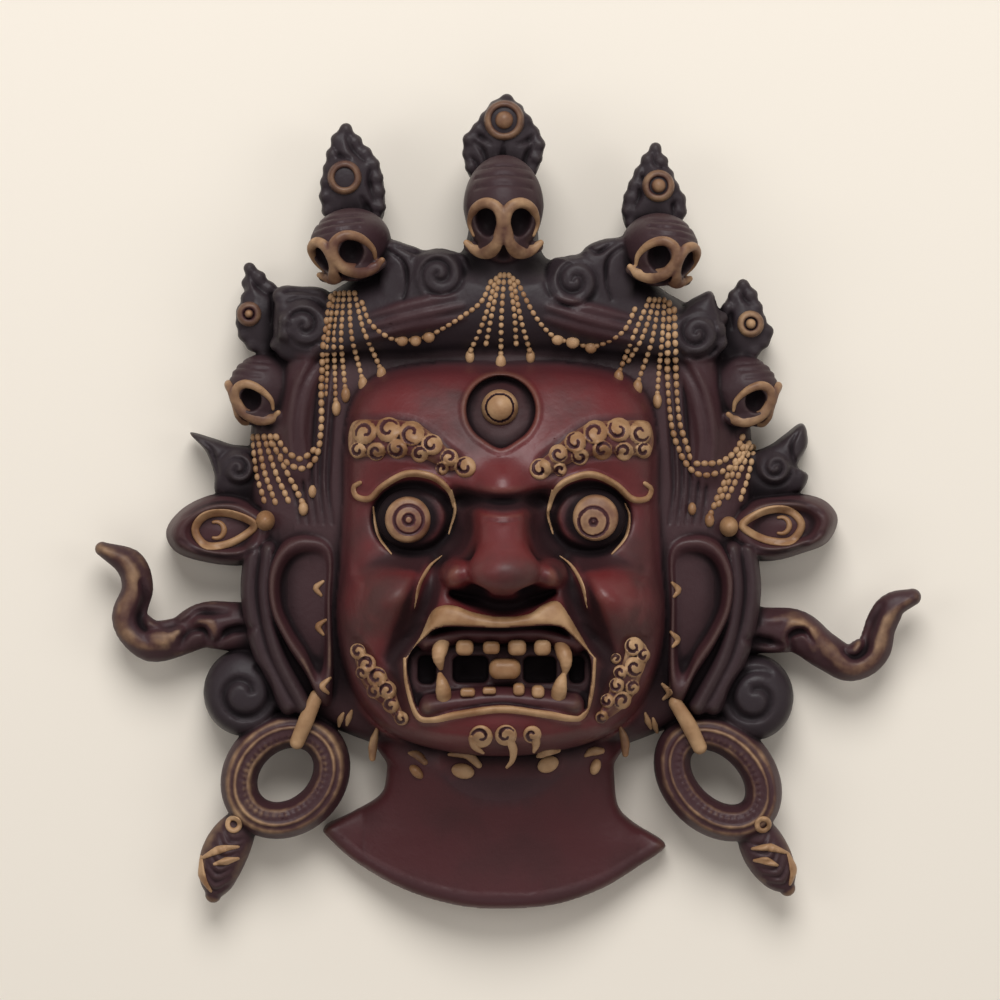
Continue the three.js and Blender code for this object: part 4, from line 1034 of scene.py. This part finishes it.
# Scarf ends and earrings
SCARVES = [
    {
        "line": [(-72, -38), (-82, -37.5), (-92, -37), (-100, -40.5), (-108.5, -41.5), (-114.5, -35),
                 (-112.3, -26), (-114.5, -18.5), (-123, -13.8)],
        "widths": (8.2, 7.6, 7.2, 5.8, 6.4, 5.6, 4.8, 4.6, 2.2), "lobe": (-80, -57.5, 12.6), "way": -1,
        "folds": [[(-104, -37.5), (-98, -36.4), (-93, -33.4), (-85, -33)],
                  [(-111, -24), (-109.6, -29), (-111.4, -34.6), (-109.6, -38), (-105.6, -38)],
                  [(-99, -43), (-96.6, -38.6), (-92, -38), (-90.6, -41.5)],
                  [(-88, -42), (-84, -38.5), (-77, -37.6)]],
        "crests": [[(-121.6, -14.6), (-116, -17.4), (-113.6, -22), (-114.2, -28), (-116.6, -33),
                    (-116.2, -39), (-110, -43), (-103, -43)],
                   [(-101, -39.4), (-95.6, -36), (-90.6, -36.4), (-88, -40)],
                   [(-108, -36.6), (-106, -40), (-101.6, -41)]],
    },
    {
        "line": [(69, -38), (78, -38.5), (88, -39), (96, -44.5), (103.8, -48.4), (110.8, -44.5), (113.2, -37),
                 (117, -31), (123, -28.4)],
        "widths": (8.2, 7, 6.8, 5.8, 5.4, 5.8, 5, 4.6, 2.6), "lobe": (74.8, -59, 12.4), "way": 1,
        "folds": [[(102, -45), (105.4, -46.6), (108.4, -43.6), (109.6, -37.6), (113.4, -31)],
                  [(86, -44.6), (85.6, -40), (89.6, -38.6), (92.6, -42)],
                  [(72, -41), (78, -41.6), (83, -43)]],
        "crests": [[(79, -35.4), (87, -34.6), (93, -38.4), (98, -45), (104, -50), (110.6, -47.4),
                    (113.6, -41), (116, -34), (121.6, -29.4)],
                   [(84, -43), (86.4, -37.6), (91, -39.4), (92.4, -44)],
                   [(104, -44.6), (107.6, -42), (109, -37)]],
    },
]
SCARF = {"z": 12, "thick": (6.5, 3.9)}
EARRINGS = [
    {
        "centre": (-67.3, -82.3), "long": 15.2, "short": 12.6, "turn": 42,
        "strap": [(-57.5, -58), (-60.5, -65), (-63.5, -72)],
        "drop": [(-79, -94), (-86, -106.5), (-89.3, -118.8)],
        "boss": (-82.8, -97), "crest": [(-92.6, -107.4), (-87, -104.6), (-81.4, -103.8)],
        "jaw": [(-92.8, -107), (-92.4, -113), (-89.8, -117.4)],
        "brow": [(-88.6, -109), (-84.6, -108), (-81.4, -107.4)],
    },
    {
        "centre": (63.8, -83), "long": 16, "short": 11.4, "turn": -45,
        "strap": [(50.5, -60), (54.5, -66.5), (58, -73.5)],
        "drop": [(72.5, -94.5), (78.5, -106), (85, -116.8)],
        "boss": (77.2, -97), "crest": [(74, -104.4), (79.4, -104), (84.8, -105.8)],
        "jaw": [(85, -106), (86.6, -111), (85.6, -115.4)], "brow": [(74.6, -108), (78, -108), (81.6, -109.4)],
    },
]
EARRING = {"z": 14, "wide": 5.6, "high": 7.5, "drop_wide": 7, "drop_high": 7.5, "strap_z": (25, 24, 21.4)}


def make_scarves():
    for scarf in SCARVES:
        line = [(x, y, SCARF["z"]) for x, y in scarf["line"]]
        mask.join(band(line, scarf["widths"], SCARF["thick"]), 1, WORN)
        for fold in scarf["folds"]:
            # The folds of the scarf are painted dark: dark wash with painted shade in them
            mask.carve(on_front(fold, (0.5, 1.5, 1.5, 0.5), (0.8, 3, 3, 0.8)), 1.8, (0.2, -0.45))
        for crest in scarf["crests"]:
            mask.join(on_front(crest, (0.6, 2, 2.2, 1.8, 0.6), (0.3, 1, 1.1, 1, 0.3)), 1.6, (0.35, 0.36))
        x, y, radius = scarf["lobe"]
        mask.join(boss(ring(x, y, radius, radius + 0.8), (x, y), 2, dome(12, 22, 0.7), rim=3), 1.2, CROWN)
        groove = spiral(x, y, radius - 3.4, 3, 1.1, 60, scarf["way"])
        mask.carve(on_front(groove, (0.6, 1.4, 1), (0.8, 2.2, 1.4)), 1.6)


def make_earrings():
    for earring in EARRINGS:
        x, y = earring["centre"]
        long, short, turn = earring["long"], earring["short"], earring["turn"]
        level = [(px, py, EARRING["z"]) for px, py in ring(x, y, long, short, turn)]
        mask.join(band(level, EARRING["wide"], EARRING["high"], closed=True), 1, WORN)
        for grow, wide in ((-3.2, 0.6), (0.9, 0.5), (3.2, 0.8)):
            loop = ring(x, y, long + grow, short + grow, turn)
            mask.join(on_front(loop, wide, 0.7, closed=True), 0.6, (0.3, 0.45))
        loop = ring(x, y, long - 1.4, short - 1.4, turn)
        for px, py in smooth(loop, closed=True, spacing=2)[:-1]:
            mask.join(ellipsoid((px, py, mask.height(px, py) - 0.2), (0.9, 0.9, 0.7)), 0.5, (0.3, 0.2))
        drop = [(px, py, 12) for px, py in earring["drop"]]
        high = tapered(EARRING["drop_high"], 0.4)
        mask.join(band(drop, tapered(EARRING["drop_wide"], 0.35), high), 1, (0.25, 0.32))
        line = smooth(earring["drop"], spacing=3)
        for place, run in zip(line[3:-1], np.diff(line, axis=0)[3:]):
            across = np.array([-run[1], run[0]])
            scale = [place + 1.4 * across - 0.6 * run, place + 0.4 * run, place - 1.4 * across - 0.6 * run]
            mask.carve(on_front(scale, (0.3, 0.7, 0.3), (0.4, 0.9, 0.4)), 0.6, (0.2, -0.2))
        strap = [(px, py, pz) for (px, py), pz in zip(earring["strap"], EARRING["strap_z"])]
        trim(("join", band(strap, (2, 2.4, 2.2), 2.4, spacing=0.8), 0, BONE))
        for line in (earring["crest"], earring["jaw"], earring["brow"]):
            trim(("join", on_front(line, (0.5, 1.3, 0.5), (0.5, 1.2, 0.5), spacing=0.7), 0, GOLD))
        px, py = earring["boss"]
        trim(("join", on_front(ring(px, py, 1.9, 1.9), 0.8, 1, closed=True, spacing=0.6), 0, GOLD))


def flatten_back(block):
    """Nothing reaches behind the plane that the mask lies on."""
    block.carve((LOW, (HIGH[0], HIGH[1], 4), lambda x, y, z, block: z + 0 * x + 0 * y))


def make_mask():
    make_head()
    make_neck()
    fade_face()
    make_nose()
    make_folds()
    make_ears()
    make_crown()
    make_flowers()
    make_scarves()
    make_earrings()
    make_eyes()
    make_third_eye()
    make_brows()
    make_mouth()
    make_beard()
    mask.carve(ellipsoid(HOLLOW["centre"], HOLLOW["radii"]), 2, HEAD)
    flatten_back(mask)


# From blocks to meshes
def sampled(block, values, points):
    """Values of a block at points in millimetres, blended between the eight places round each."""
    at = np.clip((points - block.low) / block.step, 0, np.array(values.shape) - 1.001)
    base = at.astype(int)
    part = at - base
    total = np.zeros(len(points))
    for corner in range(8):
        step = np.array([corner & 1, corner >> 1 & 1, corner >> 2 & 1])
        weight = np.prod(np.where(step, part, 1 - part), axis=1)
        i, j, k = (base + step).T
        total += weight * values[i, j, k]
    return total


def blurred(values, reach):
    width = 2 * reach + 1
    for axis in range(3):
        pad = [(reach + 1, reach) if k == axis else (0, 0) for k in range(3)]
        total = np.cumsum(np.pad(values, pad, mode="edge"), axis=axis, dtype=np.float32)
        count = total.shape[axis]
        ahead = np.take(total, np.arange(width, count), axis)
        behind = np.take(total, np.arange(0, count - width), axis)
        values = (ahead - behind) / width
    return values


def main_bodies(count, edges, share):
    """Which corners belong to a connected body with at least a share of the corners of the biggest one."""
    label = np.arange(count)
    while True:
        least = np.minimum(label[edges[:, 0]], label[edges[:, 1]])
        new = label.copy()
        np.minimum.at(new, edges[:, 0], least)
        np.minimum.at(new, edges[:, 1], least)
        new = new[new]
        if np.array_equal(new, label):
            size = np.bincount(label)
            return size[label] >= share * size.max()
        label = new


def surface(block, share):
    """Corners and four-sided faces of a block's surface, without bodies under a share of the biggest."""
    grid = openvdb.FloatGrid(FAR)
    grid.copyFromArray(block.field)
    points, _, quads = grid.convertToPolygons(isovalue=0.0, adaptivity=0.0)
    edges = np.vstack([quads[:, [k, (k + 1) % 4]] for k in range(4)]).astype(np.int64)
    keep = main_bodies(len(points), edges, share)
    quads = (np.cumsum(keep) - 1)[quads[keep[quads[:, 0]]]]
    return points[keep] * block.step + block.low, quads


def mesh_of(name, points, faces):
    """A mesh from corners in millimetres and faces that all have the same number of corners."""
    mesh = bpy.data.meshes.new(name)
    mesh.vertices.add(len(points))
    mesh.vertices.foreach_set("co", (points / MM).astype(np.float32).ravel())
    mesh.loops.add(faces.size)
    mesh.loops.foreach_set("vertex_index", faces.astype(np.int32).ravel())
    mesh.polygons.add(len(faces))
    mesh.polygons.foreach_set("loop_start", np.arange(0, faces.size, faces.shape[1], dtype=np.int32))
    mesh.update(calc_edges=True)
    return mesh


def thinned(points, quads, triangles):
    """The same surface with fewer, larger triangles where it is even, and no doubled ones."""
    full = mesh_of("full", points, quads)
    obj = bpy.data.objects.new("full", full)
    bpy.context.collection.objects.link(obj)
    modifier = obj.modifiers.new("thin", "DECIMATE")
    modifier.ratio = min(1, triangles / (2 * len(quads)))
    modifier.use_collapse_triangulate = True
    thin = bpy.data.meshes.new_from_object(obj.evaluated_get(bpy.context.evaluated_depsgraph_get()))
    thin.calc_loop_triangles()
    corners, faces = np.empty(3 * len(thin.vertices)), np.empty(3 * len(thin.loop_triangles), np.int32)
    thin.vertices.foreach_get("co", corners)
    thin.loop_triangles.foreach_get("vertices", faces)
    bpy.data.objects.remove(obj)
    bpy.data.meshes.remove(full)
    bpy.data.meshes.remove(thin)
    corners, faces = corners.reshape(-1, 3) * MM, faces.reshape(-1, 3)
    sides = np.sort(faces, axis=1)
    _, which, copies = np.unique(sides, axis=0, return_inverse=True, return_counts=True)
    used, faces = np.unique(faces[copies[which] == 1], return_inverse=True)
    return corners[used], faces.reshape(-1, 3)


def looks_of(block, points):
    """How far into a recess each place lies at three scales, and the redness, rubbed bone and painted dark
    given to it.
    """
    filled = np.clip(0.5 - block.field / (2 * block.step), 0, 1)
    soften = 0 if block.base else SOFTEN
    looks = {}
    for name, kept in (("red", block.red), ("rub_and_shade", block.rub_and_shade)):
        looks[name] = sampled(block, blurred(kept, soften), points)
    for name, reach in (("fine", 1.0), ("broad", 3.0), ("wide", 7.0)):
        if name == "wide" and block.base:
            looks[name] = np.zeros(len(points))
        else:
            cells = max(1, int(round(reach / block.step)))
            looks[name] = sampled(block, blurred(filled, cells), points) - 0.5
    return looks


def trim_surface(steps):
    """Corners, triangles and looks of one group of trim, carved in its own block."""
    joined = [made for how, made, blend, finish_and_shade in steps if how == "join"]
    low = np.min([np.array(made[0], float) for made in joined], axis=0) - TRIM_ROOM["round"]
    high = np.max([np.array(made[1], float) for made in joined], axis=0) + TRIM_ROOM["round"]
    across, up = np.arange(low[0], high[0], STEP), np.arange(low[1], high[1], STEP)
    fronts = mask.mapped_front(across[:, None], up[None, :])
    low[2] = max(low[2], fronts.min() - TRIM_ROOM["under"])
    high[2] = min(high[2], fronts.max() + TRIM_ROOM["over"])
    block = Block(low, high, FINE_STEP, base=mask)
    for how, made, blend, finish_and_shade in steps:
        (block.join if how == "join" else block.carve)(made, blend, finish_and_shade)
    flatten_back(block)
    points, quads = surface(block, SCRAP)
    corners = points[quads]
    crossed = np.cross(corners[:, 2] - corners[:, 0], corners[:, 3] - corners[:, 1])
    area = 0.5 * np.linalg.norm(crossed, axis=1).sum()
    points, triangles = thinned(points, quads, TRIM_DENSITY * area)
    return points, triangles, looks_of(block, points)


def all_trim():
    points, triangles, looks, count = [], [], [], 0
    for steps in trim_steps:
        some_points, some_triangles, some_looks = trim_surface(steps)
        points.append(some_points)
        triangles.append(some_triangles + count)
        looks.append(some_looks)
        count += len(some_points)
    joined_looks = {name: np.concatenate([one[name] for one in looks]) for name in looks[0]}
    return np.vstack(points), np.vstack(triangles), joined_looks


def add_piece(name, points, triangles, looks, material):
    mesh = mesh_of(name, points, triangles)
    mesh.shade_smooth()
    for kind, values in looks.items():
        mesh.attributes.new(kind, "FLOAT", "POINT").data.foreach_set("value", values.astype(np.float32))
    mesh.materials.append(material)
    piece = bpy.data.objects.new(name, mesh)
    bpy.context.collection.objects.link(piece)
    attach(piece, "root")
    print(name, len(triangles), "triangles")
    return piece


# Material
def stained_resin():
    material = bpy.data.materials.new("stained resin")
    material.use_nodes = True
    nodes, links = material.node_tree.nodes, material.node_tree.links
    shader = nodes["Principled BSDF"]

    def put(socket, value):
        if isinstance(value, bpy.types.NodeSocket):
            links.new(value, socket)
        else:
            socket.default_value = value

    def math_node(kind, a, b):
        node = nodes.new("ShaderNodeMath")
        node.operation = kind
        put(node.inputs[0], a)
        put(node.inputs[1], b)
        return node.outputs[0]

    def between(value, low, high, out_low=0.0, out_high=1.0):
        node = nodes.new("ShaderNodeMapRange")
        node.interpolation_type = "SMOOTHSTEP"
        sizes = {"Value": value, "From Min": low, "From Max": high, "To Min": out_low, "To Max": out_high}
        for name, given in sizes.items():
            put(node.inputs[name], given)
        return node.outputs[0]

    def mixed(part, a, b):
        node = nodes.new("ShaderNodeMix")
        node.data_type = "RGBA"
        put(node.inputs[0], part)
        put(node.inputs[6], a)
        put(node.inputs[7], b)
        return node.outputs[2]

    def attribute(name):
        node = nodes.new("ShaderNodeAttribute")
        node.attribute_name = name
        return node.outputs["Fac"]

    place = nodes.new("ShaderNodeTexCoord").outputs["Object"]

    def noise(scale, detail):
        node = nodes.new("ShaderNodeTexNoise")
        put(node.inputs["Vector"], place)
        put(node.inputs["Scale"], scale)
        put(node.inputs["Detail"], detail)
        return node.outputs[0]

    fine, broad, wide, red, rub_and_shade = (attribute(name) for name in ("fine", "broad", "wide", "red", "rub_and_shade"))
    clouds, spots, grain = noise(45, 4), noise(190, 3), noise(700, 3)
    uneven = math_node("SUBTRACT", math_node("ADD", clouds, math_node("MULTIPLY", spots, 0.6)), 0.8)
    ridge = math_node("ADD", math_node("MULTIPLY", fine, -1.5), math_node("MULTIPLY", broad, -0.8))
    stain = mixed(red, (0.0245, 0.0215, 0.0255, 1), (0.122, 0.0145, 0.0165, 1))
    blotch = math_node("MULTIPLY", between(clouds, 0.4, 0.68, 0, 0.7), red)
    stain = mixed(blotch, stain, (0.03, 0.012, 0.012, 1))
    wear = mixed(red, (0.043, 0.037, 0.039, 1), (0.17, 0.06, 0.032, 1))
    rubbed = mixed(between(ridge, 0.1, 0.5, 0, 0.6), stain, wear)
    bone = mixed(between(uneven, -0.3, 0.35), (0.24, 0.115, 0.05, 1), (0.54, 0.34, 0.185, 1))
    cover = math_node("ADD", rub_and_shade, math_node("MULTIPLY", ridge, 0.6))
    cover = math_node("ADD", cover, math_node("MULTIPLY", uneven, 0.6))
    colour = mixed(between(cover, 0.3, 0.9), rubbed, bone)
    # Painted shade: places deep in recesses at the three scales, and finishes rubbed below zero, are darkened
    # towards near-black; partly the mask's dark wash, partly painted shade
    wash_and_shade = math_node("MAXIMUM", between(broad, 0.0, 0.2, 0, 0.92), between(wide, 0.0, 0.22, 0, 0.88))
    wash_and_shade = math_node("MAXIMUM", wash_and_shade, between(fine, 0.04, 0.22, 0, 0.88))
    wash_and_shade = math_node("MAXIMUM", wash_and_shade, between(rub_and_shade, -0.15, -0.8, 0, 0.85))
    colour = mixed(wash_and_shade, colour, (0.01, 0.008, 0.009, 1))
    put(shader.inputs["Base Color"], colour)
    # The specular level rises with the red and is taken away where the shade is painted
    sheen = math_node("ADD", 0.2, math_node("MULTIPLY", red, 0.28))
    put(shader.inputs["Specular IOR Level"], math_node("MULTIPLY", sheen, math_node("SUBTRACT", 1.0, wash_and_shade)))
    put(shader.inputs["Roughness"], between(clouds, 0.3, 0.7, 0.4, 0.56))
    bump = nodes.new("ShaderNodeBump")
    put(bump.inputs["Strength"], 0.32)
    put(bump.inputs["Distance"], 0.0006)
    put(bump.inputs["Height"], math_node("ADD", spots, math_node("MULTIPLY", grain, 0.35)))
    put(shader.inputs["Normal"], bump.outputs[0])
    return material


# Floor, lights and camera, in metres
FLOOR = {"size": 4, "z": -0.0002}
CAMERA = {"lens": 180, "sensor": 36, "place": (-0.00225, 0.00105, 1.53)}  # lens and sensor in millimetres


def add_floor():
    material = bpy.data.materials.new("pale floor")
    material.use_nodes = True
    shader = material.node_tree.nodes["Principled BSDF"]
    shader.inputs["Base Color"].default_value = (0.90, 0.83, 0.73, 1)
    shader.inputs["Roughness"].default_value = 0.9
    bpy.ops.mesh.primitive_plane_add(size=FLOOR["size"], location=(0, 0, FLOOR["z"]))
    floor = bpy.context.object
    floor.name = "floor"
    floor.data.materials.append(material)


def add_light(name, place, size, watts):
    data = bpy.data.lights.new(name, "AREA")
    data.shape, data.size, data.energy = "DISK", size, watts
    light = bpy.data.objects.new(name, data)
    light.location = place
    light.rotation_euler = (-Vector(place)).to_track_quat("-Z", "Y").to_euler()
    bpy.context.collection.objects.link(light)


def add_world(strength):
    world = bpy.data.worlds.new("studio")
    world.use_nodes = True
    background = world.node_tree.nodes["Background"]
    background.inputs["Color"].default_value = (1, 0.97, 0.94, 1)
    background.inputs["Strength"].default_value = strength
    bpy.context.scene.world = world


def add_camera():
    data = bpy.data.cameras.new("camera")
    data.lens, data.sensor_width = CAMERA["lens"], CAMERA["sensor"]
    camera = bpy.data.objects.new("camera", data)
    camera.location = CAMERA["place"]
    bpy.context.collection.objects.link(camera)
    bpy.context.scene.camera = camera


make_mask()
resin = stained_resin()
mask_points, mask_triangles = thinned(*surface(mask, 1), MASK_TRIANGLES)
body = add_piece("carved_mask", mask_points, mask_triangles, looks_of(mask, mask_points), resin)
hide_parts("mask")
add_piece("bone_trim", *all_trim(), resin)
bead_points, bead_triangles = make_beads()
plain = np.zeros(len(bead_points))
bead_looks = {"red": plain + BONE[0], "rub_and_shade": plain + BEAD["rub_and_shade"]}
for scale in ("fine", "broad", "wide"):
    bead_looks[scale] = plain
add_piece("bead_strings", bead_points, bead_triangles, bead_looks, resin)

add_floor()
add_light("top light", (0, 0.9, 1.1), size=0.9, watts=14.6)
add_light("left light", (-1.0, 0.1, 1.0), size=0.7, watts=1.9)
add_light("right light", (1.0, 0.1, 1.0), size=0.7, watts=1.9)
add_light("front light", (0, -0.7, 1.3), size=0.9, watts=0.8)
add_world(0.3)
bpy.context.scene.view_settings.view_transform = "Standard"
add_camera()
